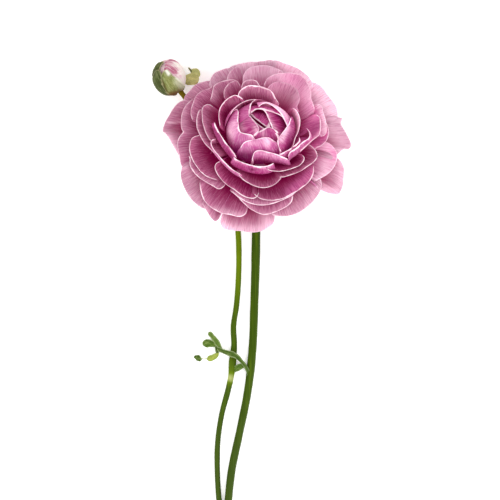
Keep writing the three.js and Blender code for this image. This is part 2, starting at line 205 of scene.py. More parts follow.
def make_mottle_effect():
    """Soft uneven patches through the whole flower."""
    tree, given, out = effect("soft mottle", [("Place", "vector", None), ("Scale", "float", 60.0)], ["Patch"])
    feed(tree, out["Patch"], between(tree, noise(tree, given["Place"], given["Scale"], 3.0, 0.6), 0.3, 0.7))
    return tree


def make_margin_effect():
    """A thin line along the edge of a petal or a sepal, a little uneven in width and in strength."""
    tree, given, out = effect("pale margin", [
        ("Edge", "float", 0.0), ("Width", "float", 0.6), ("Place", "vector", None),
    ], ["Line"])
    quick, slow = noise(tree, given["Place"], 320.0, 1.0), noise(tree, given["Place"], 130.0, 0.0)
    width = times(tree, given["Width"], between(tree, quick, 0.3, 0.7, 0.4, 1.5))
    line = between(tree, maths(tree, "DIVIDE", given["Edge"], width), 0.55, 1.0, 1.0, 0.0)
    feed(tree, out["Line"], times(tree, line, between(tree, slow, 0.35, 0.6, 0.55, 1.0)))
    return tree


def make_fibre_effect():
    """Lengthwise fibres on the stalks, which run along Y."""
    tree, given, out = effect("green fibres", [
        ("Place", "vector", None), ("Stretch", "vector", None), ("Lot", "float", 0.0),
    ], ["Fibre"])
    place = put(tree, "ShaderNodeVectorMath", {0: given["Place"], 1: given["Stretch"]}, operation="MULTIPLY")
    grain = put(tree, "ShaderNodeTexNoise", {
        "Vector": place.outputs[0], "W": given["Lot"], "Scale": 1.0, "Detail": 2.5, "Roughness": 0.6,
    }, noise_dimensions="4D").outputs[0]
    feed(tree, out["Fibre"], between(tree, grain, 0.3, 0.7))
    return tree


VEINS = make_vein_effect()
MOTTLE = make_mottle_effect()
MARGIN = make_margin_effect()
FIBRES = make_fibre_effect()


def fresh(name):
    material = bpy.data.materials.new(name)
    material.use_nodes = True
    tree = material.node_tree
    tree.nodes.clear()
    return material, tree, put(tree, "ShaderNodeOutputMaterial").inputs["Surface"]


def mottle(tree, scale):
    return use(tree, MOTTLE, {"Place": own_place(tree), "Scale": scale})["Patch"]


def bump(tree, strength, depth, height):
    return put(tree, "ShaderNodeBump", {
        "Strength": strength, "Distance": depth * MM, "Height": height}).outputs[0]


def tissue(tree, veins, patches, edge, margin):
    """What thin tissue has: its veins, by their count, its patches, by their scale, and its margin's line."""
    uv = put(tree, "ShaderNodeUVMap", uv_map="UVMap").outputs[0]
    across, along, _ = put(tree, "ShaderNodeSeparateXYZ", {0: uv}).outputs
    lines = use(tree, VEINS, {"Across": across, "Along": along, "Lot": reading(tree, "lot"), "Count": veins})
    line = use(tree, MARGIN, {"Edge": reading(tree, edge), "Width": margin, "Place": own_place(tree)})["Line"]
    return lines, mottle(tree, patches), line


def finish_leafy(tree, surface, colour, glow, share, roughness, height, depth, painted_glow=(0, 0, 0, 1)):
    """Thin plant tissue: a soft surface, light that comes through, and a painted glow that stands in for
    light scattered among its layers.
    """
    normal = bump(tree, 0.5, depth, height)
    skin = put(tree, "ShaderNodeBsdfPrincipled", {
        "Base Color": colour, "Roughness": roughness, "Normal": normal, "Specular IOR Level": 0.06,
        "Emission Color": painted_glow, "Emission Strength": 0.5,
    }).outputs[0]
    through = put(tree, "ShaderNodeBsdfTranslucent", {"Color": glow, "Normal": normal}).outputs[0]
    feed(tree, surface, put(tree, "ShaderNodeMixShader", {0: share, 1: skin, 2: through}).outputs[0])


def petal_ground(tree, far, pale, outer, faded, patch):
    """A petal's colour on its two faces, deeper with the distance from its rim, partly by its own tint and
    partly by painted shade.
    """
    inner = ramp(tree, far, (0.0, 190, 112, 146), (0.1, 168, 76, 118), (0.35, 138, 32, 84), (0.7, 122, 6, 68),
                 (1.0, 112, 0, 58))
    light = ramp(tree, far, (0.0, 232, 196, 216), (0.15, 222, 164, 194), (0.35, 210, 142, 176),
                 (0.6, 198, 112, 156), (1.0, 176, 64, 120))
    light = blend(tree, times(tree, faded, 0.5), light, (212, 196, 205))
    back = ramp(tree, far, (0.0, 190, 76, 142), (0.3, 170, 46, 116), (0.7, 148, 16, 90), (1.0, 116, 0, 60))
    soft = ramp(tree, far, (0.0, 222, 146, 194), (0.25, 206, 116, 174), (0.6, 186, 70, 136),
                (1.0, 144, 12, 80))
    uneven = times(tree, maths(tree, "SUBTRACT", patch, 0.5), 0.6)
    back = blend(tree, maths(tree, "ADD", pale, uneven, clamp=True), back, soft)
    return blend(tree, outer, blend(tree, pale, inner, light), back)


def make_petal_material():
    material, tree, surface = fresh("mauve petal")
    pale, outer, rim, deep, crisp, bright, shade, opened, flush, faded = [reading(tree, name) for name in (
        "pale", "outer", "rim", "deep", "crisp", "bright", "shade", "opened", "flush", "faded")]
    veins, patch, line = tissue(tree, 52.0, 140.0, "rim", between(tree, crisp, 0.75, 0.95, 0.46, 0.68))
    line = times(tree, line, crisp)
    underside = times(tree, outer, opened)
    # What lies deep among the petals is darker, partly by its own deeper tint and partly by painted shade,
    # but less so where it is pale, flushed or an underside.
    sunk_tint_and_shade = times(tree, deep, between(tree, pale, 0.4, 1.0, 1.0, 0.35))
    sunk_tint_and_shade = times(tree, sunk_tint_and_shade, between(tree, underside, 0.0, 1.0, 1.0, 0.3))
    sunk_tint_and_shade = times(tree, sunk_tint_and_shade, between(tree, flush, 0.0, 1.0, 1.0, 0.25))

    ground = petal_ground(tree, maths(tree, "DIVIDE", rim, 16.0, clamp=True), pale, outer, faded, patch)
    ground = blend(tree, flush, ground, (232, 130, 192))
    # Painted highlights whiten the petal at their spots.
    ground = blend(tree, bright, ground, (252, 230, 243))
    # Fine veins, some a stronger pink than the ground and some paler.
    strong = blend(tree, pale, (130, 10, 76), (208, 110, 164))
    faint = blend(tree, pale, (216, 118, 168), (255, 228, 244))
    mark = maths(tree, "ADD", times(tree, veins["Broad"], 0.35), times(tree, veins["Fine"], 0.65))
    ground = blend(tree, times(tree, patch, 0.16), ground, faint)
    ground = blend(tree, times(tree, between(tree, mark, 0.5, 0.85), 0.52), ground, strong)
    ground = blend(tree, times(tree, between(tree, mark, 0.45, 0.15), 0.48), ground, faint)
    rough = between(tree, mark, 0.0, 1.0, 0.5, 0.62)
    # Painted shade, with a deeper tint, where the petal lies deep below the dome.
    ground = blend(tree, times(tree, sunk_tint_and_shade, 0.9), ground, (150, 2, 80))
    # Painted shade darkens the petal at its spots.
    ground = blend(tree, shade, ground, (104, 0, 54))
    colour = blend(tree, line, ground, (255, 246, 251))
    glow = blend(tree, 0.5, colour, (240, 110, 176), "MULTIPLY")
    # A painted glow, emission that stands in for light scattered among the layers, warms their depths, their
    # thin rims and the painted highlights.
    dark = blend(tree, outer, (78, 6, 46), (104, 16, 66))
    light = blend(tree, maths(tree, "SUBTRACT", outer, underside), (98, 34, 72), (146, 24, 112))
    painted_glow = blend(tree, pale, dark, light)
    painted_glow = blend(tree, flush, painted_glow, (158, 48, 116))
    painted_glow = blend(tree, sunk_tint_and_shade, painted_glow, (104, 0, 52))
    lit = times(tree, bright, between(tree, opened, 0.0, 1.0, 0.5, 0.2))
    painted_glow = blend(tree, lit, painted_glow, (255, 200, 228))
    painted_glow = blend(tree, times(tree, line, 0.7), painted_glow, (255, 236, 246))
    finish_leafy(tree, surface, colour, glow, 0.32, rough, mark, 0.1, painted_glow)
    return material


def make_bud_material():
    material, tree, surface = fresh("bud petal")
    veins, patch, line = tissue(tree, 16.0, 260.0, "edge", 0.4)
    streaks = times(tree, maths(tree, "SUBTRACT", veins["Broad"], 0.5), 0.3)
    ground = ramp(tree, maths(tree, "ADD", reading(tree, "blush"), streaks), (0.0, 244, 236, 228),
                  (0.25, 232, 208, 210), (0.55, 200, 132, 154), (1.0, 160, 60, 96))
    ground = blend(tree, times(tree, patch, 0.12), ground, (236, 190, 206))
    colour = blend(tree, times(tree, line, 0.5), ground, (255, 250, 248))
    finish_leafy(tree, surface, colour, colour, 0.2, 0.5, veins["Fine"], 0.06)
    return material


def make_sepal_material():
    material, tree, surface = fresh("olive sepal")
    dark = reading(tree, "dark")
    veins, patch, line = tissue(tree, 34.0, 420.0, "edge", 0.36)
    ground = ramp(tree, dark, (0.0, 226, 214, 142), (0.4, 180, 180, 116), (0.75, 108, 114, 60),
                  (1.0, 58, 64, 34))
    rib = times(tree, between(tree, veins["Broad"], 0.5, 0.95), between(tree, dark, 0.4, 1.0, 0.55, 0.22))
    ground = blend(tree, rib, ground, (190, 196, 140))
    ground = blend(tree, times(tree, between(tree, veins["Fine"], 0.5, 0.1), 0.4), ground, (70, 86, 30))
    ground = blend(tree, times(tree, patch, 0.35), ground, (78, 92, 40))
    ground = blend(tree, reading(tree, "bleach"), ground, (252, 250, 242))
    ground = blend(tree, reading(tree, "brown"), ground, (96, 54, 22))
    colour = blend(tree, times(tree, line, 0.45), ground, (206, 192, 150))
    finish_leafy(tree, surface, colour, colour, 0.12, 0.55, veins["Broad"], 0.3)
    return material


def make_stalk_material():
    material, tree, surface = fresh("stalk green")
    place = own_place(tree)
    fibre = use(tree, FIBRES, {
        "Place": place, "Stretch": (1500.0, 45.0, 1500.0), "Lot": reading(tree, "lot")})["Fibre"]
    patch = mottle(tree, 90.0)
    ground = ramp(tree, reading(tree, "young"), (0.0, 44, 68, 0), (0.35, 62, 84, 8), (0.7, 100, 124, 0),
                  (1.0, 184, 190, 120))
    ground = blend(tree, times(tree, between(tree, fibre, 0.5, 1.0), 0.3), ground, (94, 118, 6))
    ground = blend(tree, times(tree, between(tree, fibre, 0.5, 0.0), 0.35), ground, (26, 46, 0))
    ground = blend(tree, times(tree, patch, 0.15), ground, (64, 80, 8))
    # Towards the cut end the green is greyer.
    height = put(tree, "ShaderNodeSeparateXYZ", {0: place}).outputs[1]
    ground = blend(tree, between(tree, height, 0.0, -0.07, 0.0, 0.55), ground, (52, 68, 26))
    colour = blend(tree, reading(tree, "brown"), ground, (116, 92, 20))
    feed(tree, surface, put(tree, "ShaderNodeBsdfPrincipled", {
        "Base Color": colour, "Roughness": between(tree, patch, 0.0, 1.0, 0.38, 0.52),
        "Specular IOR Level": 0.05, "Normal": bump(tree, 0.4, 0.15, fibre),
    }).outputs[0])
    return material


def make_leaf_material():
    material, tree, surface = fresh("leaf green")
    veins, patch, line = tissue(tree, 7.0, 500.0, "edge", 0.35)
    ground = ramp(tree, reading(tree, "dark"), (0.0, 186, 192, 84), (0.35, 118, 146, 64), (0.7, 80, 108, 34),
                  (1.0, 40, 64, 12))
    ground = blend(tree, times(tree, between(tree, veins["Broad"], 0.5, 1.0), 0.4), ground, (168, 186, 110))
    ground = blend(tree, times(tree, patch, 0.3), ground, (70, 98, 40))
    colour = blend(tree, times(tree, line, 0.45), ground, (190, 206, 150))
    finish_leafy(tree, surface, colour, colour, 0.18, 0.5, veins["Broad"], 0.15)
    return material


def make_heart_material():
    material, tree, surface = fresh("dark heart")
    patch = mottle(tree, 900.0)
    feed(tree, surface, put(tree, "ShaderNodeBsdfPrincipled", {
        "Base Color": blend(tree, patch, (40, 14, 28), (70, 52, 30)), "Roughness": 0.7,
        "Normal": bump(tree, 0.6, 0.3, patch),
    }).outputs[0])
    return material


def make_pith_material():
    material, tree, surface = fresh("cut pith")
    patch = mottle(tree, 2600.0)
    ring = ramp(tree, reading(tree, "away"), (0.0, 206, 214, 168), (0.55, 190, 202, 146),
                (0.75, 122, 146, 70), (1.0, 70, 96, 24))
    feed(tree, surface, put(tree, "ShaderNodeBsdfPrincipled", {
        "Base Color": blend(tree, times(tree, patch, 0.4), ring, (226, 230, 196)),
        "Roughness": between(tree, patch, 0.0, 1.0, 0.35, 0.6),
    }).outputs[0])
    return material


def make_table_material():
    material, tree, surface = fresh("pale table")
    colour = blend(tree, mottle(tree, 14.0), (252, 252, 251), (254, 254, 254))
    feed(tree, surface, put(tree, "ShaderNodeBsdfPrincipled", {
        "Base Color": colour, "Roughness": 0.8, "Specular IOR Level": 0.1, "Emission Color": colour,
        "Emission Strength": 0.3,
    }).outputs[0])
    return material


MAUVE_PETAL = make_petal_material()
BUD_PETAL = make_bud_material()
OLIVE_SEPAL = make_sepal_material()
STALK_GREEN = make_stalk_material()
LEAF_GREEN = make_leaf_material()
DARK_HEART = make_heart_material()
CUT_PITH = make_pith_material()
PALE_TABLE = make_table_material()

# ---------------------------------------------------------------- driving dimensions

BLOOM_SEAT = (3.6, 89.5, 16.5)
BLOOM_TILT = -27
BLOOM_LEAN = 4
BUD_SEAT = (-36.4, 116.9, 5.2)
BUD_TILT = -66
BUD_TURN = 17
GOLDEN_ANGLE = math.pi * (3 - math.sqrt(5))
PETAL_THICK, PETAL_THIN = 0.36, 0.16
BUD_PETAL_THICK = 0.4
SEPAL_THICK, SEPAL_THIN = 0.6, 0.25
LEAF_THICK, LEAF_THIN = 0.7, 0.3
THIN_BAND = 1.3  # how far from its edges a blade begins to thin
PETAL_REST = 0.35  # how high a petal's middle lies where it touches the table
SHOOT_REST, SHOOT_REACH = 3.6, 5.0  # how far the side shoot lifts petals, and how far from its middle

# Points on the stalks' centre lines, (x, y, z, radius). The stem runs from its cut end into the calyx.
STEM = [
    (-14.4, -133, 1.9, 2.05), (-13.4, -112, 1.85, 2.0), (-11.9, -90, 1.75, 1.9), (-9.6, -66, 1.7, 1.85),
    (-5.9, -48, 1.7, 1.85), (-2.4, -31, 1.7, 1.85), (-0.5, -18, 1.8, 1.95), (0.8, -2.4, 1.8, 1.95),
    (1.3, 12, 1.8, 1.95), (1.9, 30, 1.85, 2.05), (2.3, 50, 1.9, 2.1), (2.6, 66, 2.0, 2.1),
    (2.8, 75.5, 3.0, 2.1), (3.0, 82.3, 6.0, 2.15), (3.2, 86.3, 10.2, 2.4), (3.44, 88.68, 14.98, 3.6),
]
STEM_TOP = (3.5, 89.1, 15.7, 3.9)
# The side shoot leaves the stem near its foot, runs beside it and ends inside the bud.
SHOOT = [
    (-12.7, -108, 1.6, 1.5), (-13.6, -100, 1.3, 1.5), (-15.0, -86, 1.2, 1.4), (-16.3, -68, 1.15, 1.3),
    (-16.2, -52, 1.15, 1.3), (-14.2, -38, 1.15, 1.3), (-11.3, -27, 1.25, 1.4), (-9.7, -19.5, 1.4, 1.45),
    (-9.1, -13, 1.6, 1.85), (-8.3, -5, 1.3, 1.45), (-8.6, 4, 1.2, 1.35), (-7.2, 14, 1.2, 1.35),
    (-6.3, 25, 1.2, 1.35), (-6.0, 38, 1.2, 1.35), (-6.4, 50, 1.2, 1.35), (-8.2, 64, 1.2, 1.35),
    (-12.0, 79, 1.2, 1.35), (-18.6, 94, 1.2, 1.35), (-26.0, 106.6, 1.3, 1.35), (-30.2, 112.2, 2.4, 1.35),
    (-32.7, 115.2, 4.0, 1.25),
]
SHOOT_TOP = (-34.4, 117.4, 5.2, 1.3)
SHOOT_JOINT = -20.8  # how far up Y the side shoot has its pale joint
SHEATH = (-20, -15, -11, -7)  # where a paler sheath begins, is full, begins to end and ends
BROWN_NECK = (109, 115)  # where the shoot turns brown below the bud
STALK_RIBS, SHOOT_RIBS, RIB_DEPTH = 7, 5, 0.03
CUT_RINGS = (0.93, 0.8, 0.6, 0.3)  # rings of the cut face, as shares of the stem's radius there
CUT_SIDES = 32
TABLE_HALF = 3.0  # metres

# The petals' rims rest on a dome, given as distance from the axis and height.
DOME = [
    (0, 25.6), (10, 25.6), (16, 25.2), (20, 24.5), (24, 22.5), (28, 19.0), (30, 17.6), (36.4, 13.2),
    (42, 8.4), (45, 4.8), (46.6, 1.4), (60, -6.0),
]
# How an open petal stands for its rim's distance from the axis: the foot's distance and height, and the
# slope in degrees at the foot and at the rim.
HABIT = [
    (16.0, 4.4, 4.2, 36, 88), (25.0, 4.5, 3.8, 38, 50), (30.0, 4.8, 3.2, 34, 26), (36.4, 5.0, 2.4, 26, 8),
    (42.0, 5.2, 1.8, 17, -8), (45.4, 5.2, 1.4, 8, -16), (46.6, 5.2, 1.0, 4, -22),
]
# A closed petal's foot, for how far its belly stands from the axis: the foot's distance and height.
CLOSED_HABIT = [(0.0, 2.0, 7.0), (21.0, 4.4, 3.8)]
# The crowded feet of the petals, as distance from the axis and height.
HEART_CORE = [(0, 0.9), (4.6, 1.0), (5.6, 3.0), (5.0, 7.0), (3.6, 12.0), (1.8, 15.0), (0, 15.6)]
FOOT_SPREAD = 0.3  # how wide a petal's foot is in azimuth, as a share of its rim
LOW_SPREAD, HIGH_SPREAD = 1.25, 1.12  # and how wide an open petal's two middle controls are
PULL = 0.38  # how far these stand from the foot and the rim, as a share of the way between the two
FAR_SIDE_FLAT = 0.17  # how much flatter the heart's belly is on its upper side
VEIN_WIDTH = 25.0  # the length of rim that all of a petal's counted veins share
# Rows from foot to rim and columns across, for each kind of petal.
CLOSED_GRID, UPRIGHT_GRID, OPEN_GRID = (26, 34), (28, 36), (28, 38)
FRINGE_GRID, FILLER_GRID = (30, 44), (20, 24)
# The petals are numbered from these first ones on, and the closed petals from 0.
FIRST_UPRIGHT, FIRST_OPEN, FIRST_FRINGE, FIRST_FILLER = 40, 80, 120, 160
# Shorter petals fill the bloom between and below those that the plan shows: how far from the axis their rims
# reach, how far they lie below the dome, their half width and how pale they are, from the first to the last.
FILLERS = 30
FILLER_REACH, FILLER_DROP, FILLER_HALF, FILLER_PALE = (17.0, 39.0), (12.0, 7.0), (9.0, 12.5), (0.2, 0.6)
# The least share of deeper tint and painted shade that the hidden filler petals take.
FILLER_TINT_AND_SHADE = 0.5
# How far the ends of an open petal's rim tuck under the petals beside it, and of a fringe petal's.
OPEN_TUCK, FRINGE_TUCK = 2.8, 1.8
HEART_MARGIN = 0.95  # how clear the margins of the closed and upright petals are
DOME_TINT_AND_SHADE = (1.5, 11.0)  # how far below the dome a petal begins to darken with its deeper tint and painted shade, and is darkest

# Each rim is a line of places on the plan, in steps of 0.48 mm, from its clockwise end round to the other. A
# third number is how far that place lies off the dome, where a petal's side turns down.
PLAN_STEP = 0.48
PLAN_ORIGIN = (251.3, 335.0)
# The closed heart, from the inmost petal out: how far the petal's belly stands from the axis, the azimuths
# that the belly spans, how far the rim lies off the dome, how pale it is, and its rim.
CLOSED = [
    (12.4, (-35, 155), -2.6, 0.0, [
        (269, 124), (268, 128), (264, 126), (260, 123), (256, 120), (253, 117.5), (252, 114)]),
    (11.0, (140, 330), -2.4, 0.0, [
        (250.5, 116), (253, 120), (257.5, 124.3), (262, 127.5), (266, 130), (269, 131)]),
    (14.2, (-78, 78), -1.2, 0.0, [
        (280, 142), (278, 138), (276, 135.5), (273.5, 131), (270.5, 125), (268, 119), (265.3, 113.3),
        (262, 110)]),
    (13.6, (212, 362), -0.9, 0.15, [
        (252, 138), (254.5, 135.5), (259, 132), (263, 130), (267, 128), (270, 128), (274, 130),
        (278, 135)]),
    (14.6, (104, 258), -0.5, 0.2, [
        (243, 110.5), (246, 113), (249, 116), (252, 119), (255, 122), (257.5, 126), (259, 129.5),
        (258, 133), (255, 136)]),
    (14.8, (-5, 140), -0.3, 0.1, [
        (287, 122), (283, 118.5), (280, 116), (274, 113.5), (268, 112), (262, 110.3), (257, 110),
        (254, 111.5), (250.5, 114.5)]),
    (15.2, (82, 200), 0.0, 0.2, [
        (255.5, 100.3), (252.5, 102.5), (251, 106), (250.5, 110), (249.8, 114), (249, 117.5)]),
    (15.9, (128, 286), 0.2, 0.75, [
        (234, 111.8), (236.5, 110.6), (238.4, 112), (238.5, 116), (238.3, 121), (238.7, 126),
        (239.6, 130.5), (241, 133), (244.5, 134), (248, 134.7), (251.3, 135.3), (253.4, 137),
        (254.2, 139.8)]),
    (15.8, (228, 326), 0.3, 0.85, [
        (241, 149), (242, 146), (245, 142.5), (249, 141), (256, 140), (260, 138.8), (265, 138.2),
        (269, 138.5), (271.2, 139.8), (272.2, 142.5)]),
    (16.6, (66, 192), 0.3, 0.4, [
        (256.3, 100.2), (252, 100), (247, 101.2), (241, 104), (236.5, 107.8), (233.3, 111), (231, 115)]),
    (16.4, (6, 104), 0.5, 0.95, [
        (287.5, 129), (286.5, 126), (283.5, 120), (280, 113.8), (275, 108.8), (270, 105.2), (266, 103.6),
        (262, 104.8), (258.5, 108)]),
    (16.8, (296, 388), 0.6, 0.45, [
        (281, 152), (279.5, 149.5), (277.5, 145), (277, 141.5), (278.5, 138.5), (281.5, 134), (285, 129.5),
        (288, 125), (289.5, 121.5), (290.5, 118)]),
]
# The petals that stand round the heart: the slope at the rim, how far it lies off the dome, how pale it is.
UPRIGHT = [
    (80, 0.6, 0.15, [
        (292, 149), (294, 143), (295.5, 138), (298, 132), (299.6, 126), (299.6, 120), (298, 114),
        (294.5, 109.5), (290.5, 109)]),
    (134, 0.0, 0.55, [
        (253.6, 163, -2.4), (252.9, 158.5, -1.2), (253.8, 154, -0.3), (256.4, 151.2), (260, 150.6),
        (265, 151.6), (270, 153), (276, 154.8), (281, 156.6), (285, 158.4), (287.6, 159.8)]),
    (116, 0.0, 0.5, [
        (278.5, 155), (283, 153), (288, 150.5), (293, 147), (297, 144), (299, 141), (298.6, 138)]),
    (122, 0.0, 0.5, [
        (288, 157), (290, 152.5), (295, 149), (299, 145.5), (303, 142), (308, 139), (309.3, 136),
        (308.5, 132), (305.6, 128.3)]),
    (124, 0.0, 0.3, [
        (214.8, 123), (216.6, 127.6), (219.4, 133), (223, 138.8), (227.4, 145), (231.6, 150.4), (235, 155),
        (236.4, 158)]),
    (134, 0.0, 0.25, [
        (234, 157.6), (237, 160.2), (242, 162.6), (248, 164.6), (254, 166.2), (260, 167), (265, 166.8),
        (269.4, 165.6), (273.4, 163.6)]),
    (100, 0.0, 0.6, [
        (216, 139.5), (211.9, 141), (211.5, 144), (213.5, 149), (218, 155), (223, 160.5), (229, 166.5),
        (235, 171.5), (241.9, 175.4)]),
    (62, 0.0, 0.0, [
        (244, 101), (240.5, 97.5), (235, 95.8), (229, 98.3), (223, 104), (219.5, 110), (218.8, 116),
        (219.3, 122), (220.3, 128)]),
    (56, 0.0, 0.45, [
        (279, 104), (275.5, 99), (273, 94), (269, 90), (263, 87.5), (256, 86), (249, 86), (243, 88.5),
        (239, 93), (238, 98)]),
    (38, 0.0, 0.0, [
        (266, 168), (268.7, 170.4), (273, 171.5), (280, 172), (287, 170.5), (294, 168.5), (300, 165.5),
        (303.5, 161.5), (304, 158.5), (301, 155)]),
]
# The open petals, from the bowl to the fringe: how clear the margin is, how pale the petal is, and its rim.
OPEN = [
    (0.75, 0.15, [
        (278, 178), (280.5, 177.5), (285, 177), (292, 175), (300, 172), (306, 168), (313, 163),
        (316.5, 158), (316, 152), (312, 147), (307, 144)]),
    (0.75, 0.15, [
        (236, 172), (238, 175), (243, 180), (250, 184.5), (258, 187.5), (266, 188), (273, 186),
        (278, 182.5), (281, 178.5), (280.5, 175)]),
    (0.75, 0.25, [
        (214, 108), (210, 105), (206, 105), (202.5, 108), (202, 115), (203, 123), (205, 131), (208, 138),
        (212, 143)]),
    (0.75, 0.3, [
        (203, 109), (199, 111), (197, 118), (196.5, 124), (198, 131), (201, 138), (205, 144), (210, 149),
        (215, 154), (219, 158)]),
    (0.75, 0.6, [(261, 90, -2), (259.5, 85.5), (257, 82), (252, 80), (247, 80.5), (243, 83), (241, 88)]),
    (0.5, 0.3, [(240, 86), (237, 81), (233, 81.5), (229, 83.5), (226, 87), (224, 92), (224.5, 99)]),
    (0.75, 0.0, [
        (222, 162), (218, 163.5), (216, 165), (215, 168), (217.5, 175), (222, 181), (228, 186), (234, 190),
        (240, 194.5), (247, 198), (254, 199), (258, 196), (259, 190)]),
    (0.75, 0.4, [
        (300, 153), (301.5, 151), (306, 147), (311, 142), (316, 138), (319.6, 133.5), (320.8, 127),
        (320.6, 121), (318.8, 116.8, 0.6), (314.8, 114, 1.6)]),
    (0.75, 0.1, [
        (252, 193), (256, 196), (262, 200), (272, 201), (282, 199), (291, 195), (299, 190), (306, 185),
        (311, 179), (313.5, 172), (313, 164)]),
    (0.5, 0.35, [
        (240, 84), (236, 80.5), (232, 79.5), (225, 80.5), (219, 82.5), (214.5, 85), (213, 89), (212, 94),
        (210, 101)]),
    (0.75, 0.12, [
        (200, 135), (198, 136), (192, 139), (189.5, 146), (190.5, 155), (194, 163), (200, 171), (207, 177),
        (213, 179.5), (219, 181)]),
    (0.75, 0.45, [
        (230, 191), (234, 194), (240, 199), (248, 203), (256, 205), (264, 205.5), (273, 204), (281, 201),
        (290, 197), (297, 191)]),
    (0.75, 0.35, [
        (189, 156), (190, 160), (190, 165), (193, 171), (198, 177), (205, 182), (213, 186.5), (219, 189.5),
        (223, 188), (225, 184)]),
    (0.15, 0.5, [
        (299, 112), (297, 107), (299, 101), (299, 95), (297, 90), (294, 87), (288, 84), (280, 82),
        (272, 84), (266, 90)]),
    (0.4, 0.3, [
        (212, 84), (210, 88), (202, 91), (196, 96), (193, 103), (191, 110), (191, 116), (193, 122)]),
    (0.75, 0.38, [
        (238, 197), (240, 200), (244, 204), (250, 209), (257, 213), (265, 215), (273, 213), (281, 210),
        (288, 206), (292, 201), (293, 195)]),
    (0.45, 0.8, [
        (318, 128, -1.5), (322, 137), (326, 133), (326.5, 129), (325, 118), (323, 112), (322, 107),
        (319, 104.5), (316, 105, -0.8), (314, 110, -2.4)]),
    (0.4, 0.35, [(193, 99), (190, 101), (185, 107), (182, 114), (181, 122), (182, 130), (186, 136)]),
    (0.3, 0.9, [
        (284, 74), (282, 71), (278, 69), (270, 66), (262, 65), (254, 66), (249, 68), (245, 72), (243, 77),
        (242.5, 83)]),
    (0.45, 0.7, [
        (313.6, 114), (314.4, 109), (313, 104), (311, 98), (311, 92), (309, 86), (306, 80), (300, 75),
        (291, 72.5), (283, 73), (274, 74.5), (268, 78), (265, 83), (264, 89)]),
    (0.3, 0.55, [(242, 70), (238, 66.5), (235, 67), (231, 70.5), (228, 75), (227, 79.5), (228, 84)]),
    (0.5, 1.0, [
        (314, 182), (318, 180), (325, 176), (331, 171), (335, 165), (337, 158), (336, 152), (332, 146),
        (327, 143), (322, 143)]),
    (0.75, 0.4, [
        (184, 131), (183, 133), (179, 138), (177.5, 144), (178.5, 152), (180, 160), (182, 167),
        (188, 168)]),
    (0.75, 0.25, [
        (200, 181), (200, 185), (201, 192), (204, 200), (209, 206), (216, 211), (224, 214), (232, 215.5),
        (240, 217), (246, 214), (248, 208)]),
    (0.75, 0.3, [
        (314, 149.8, -3), (316, 148.8, -1.4), (319, 147.2), (323.6, 144), (327.4, 139), (328.6, 132),
        (327.6, 126), (324.6, 120)]),
]
# The fringe, where petals show against the table, in the same way.
FRINGE = [
    (0.35, 0.7, [
        (181, 163), (182, 167), (181, 174), (182, 181), (185, 189), (189.6, 197), (194.8, 203),
        (202.6, 208.4), (210, 209.4)]),
    (0.3, 0.75, [(232, 67), (229, 68), (222, 69.5), (216, 72), (212, 76), (210, 80), (209, 86)]),
    (0.35, 0.5, [(212, 80), (206, 81), (197, 84), (190, 90), (185, 96), (183, 104)]),
    (0.4, 0.6, [
        (270, 213), (272, 215), (278, 216.5), (289, 216), (298, 213), (306, 208), (313.4, 201),
        (318, 194.6), (321, 188), (321, 181), (318, 176)]),
    (0.35, 0.8, [
        (331, 160), (335, 157), (338, 154), (343, 150), (349, 149), (351, 145), (349, 139), (345, 131),
        (341, 124), (342, 118.5), (338, 117), (334, 116)]),
    (0.35, 1.0, [
        (338, 120), (338, 117), (337, 110), (334, 103), (330, 98), (327, 94), (323, 88), (318, 84),
        (312, 82), (307, 82)]),
    (0.3, 1.0, [(313, 88), (312, 82), (305, 73), (298, 68), (288, 64), (279, 60.5), (272, 60), (266, 62)]),
    (0.2, 0.8, [(276, 63), (272, 60), (262, 60.5), (250, 62), (238, 64), (229, 68), (226, 73)]),
    (0.35, 0.45, [
        (188, 99), (184, 100), (178, 103), (172, 110), (169, 116), (165, 123), (162.5, 130), (166, 134),
        (170, 140), (174, 147), (177, 152), (180, 158)]),
    (0.35, 0.5, [
        (202, 203), (204, 207), (208, 213), (212, 219), (215, 221.5), (219, 219), (221, 215), (222, 210)]),
    (0.4, 0.75, [
        (316, 185), (319.6, 190), (326, 192.6), (333, 194.4), (338, 194.5), (342, 188), (343.5, 178),
        (343.5, 168), (341, 162), (337, 158), (332, 156)]),
    (0.35, 0.6, [
        (222, 216), (220.6, 222), (223, 228), (230, 230.8), (240, 231), (246, 232), (254, 232.5),
        (262, 231), (270, 227), (274, 222), (275, 217), (274, 212)]),
]
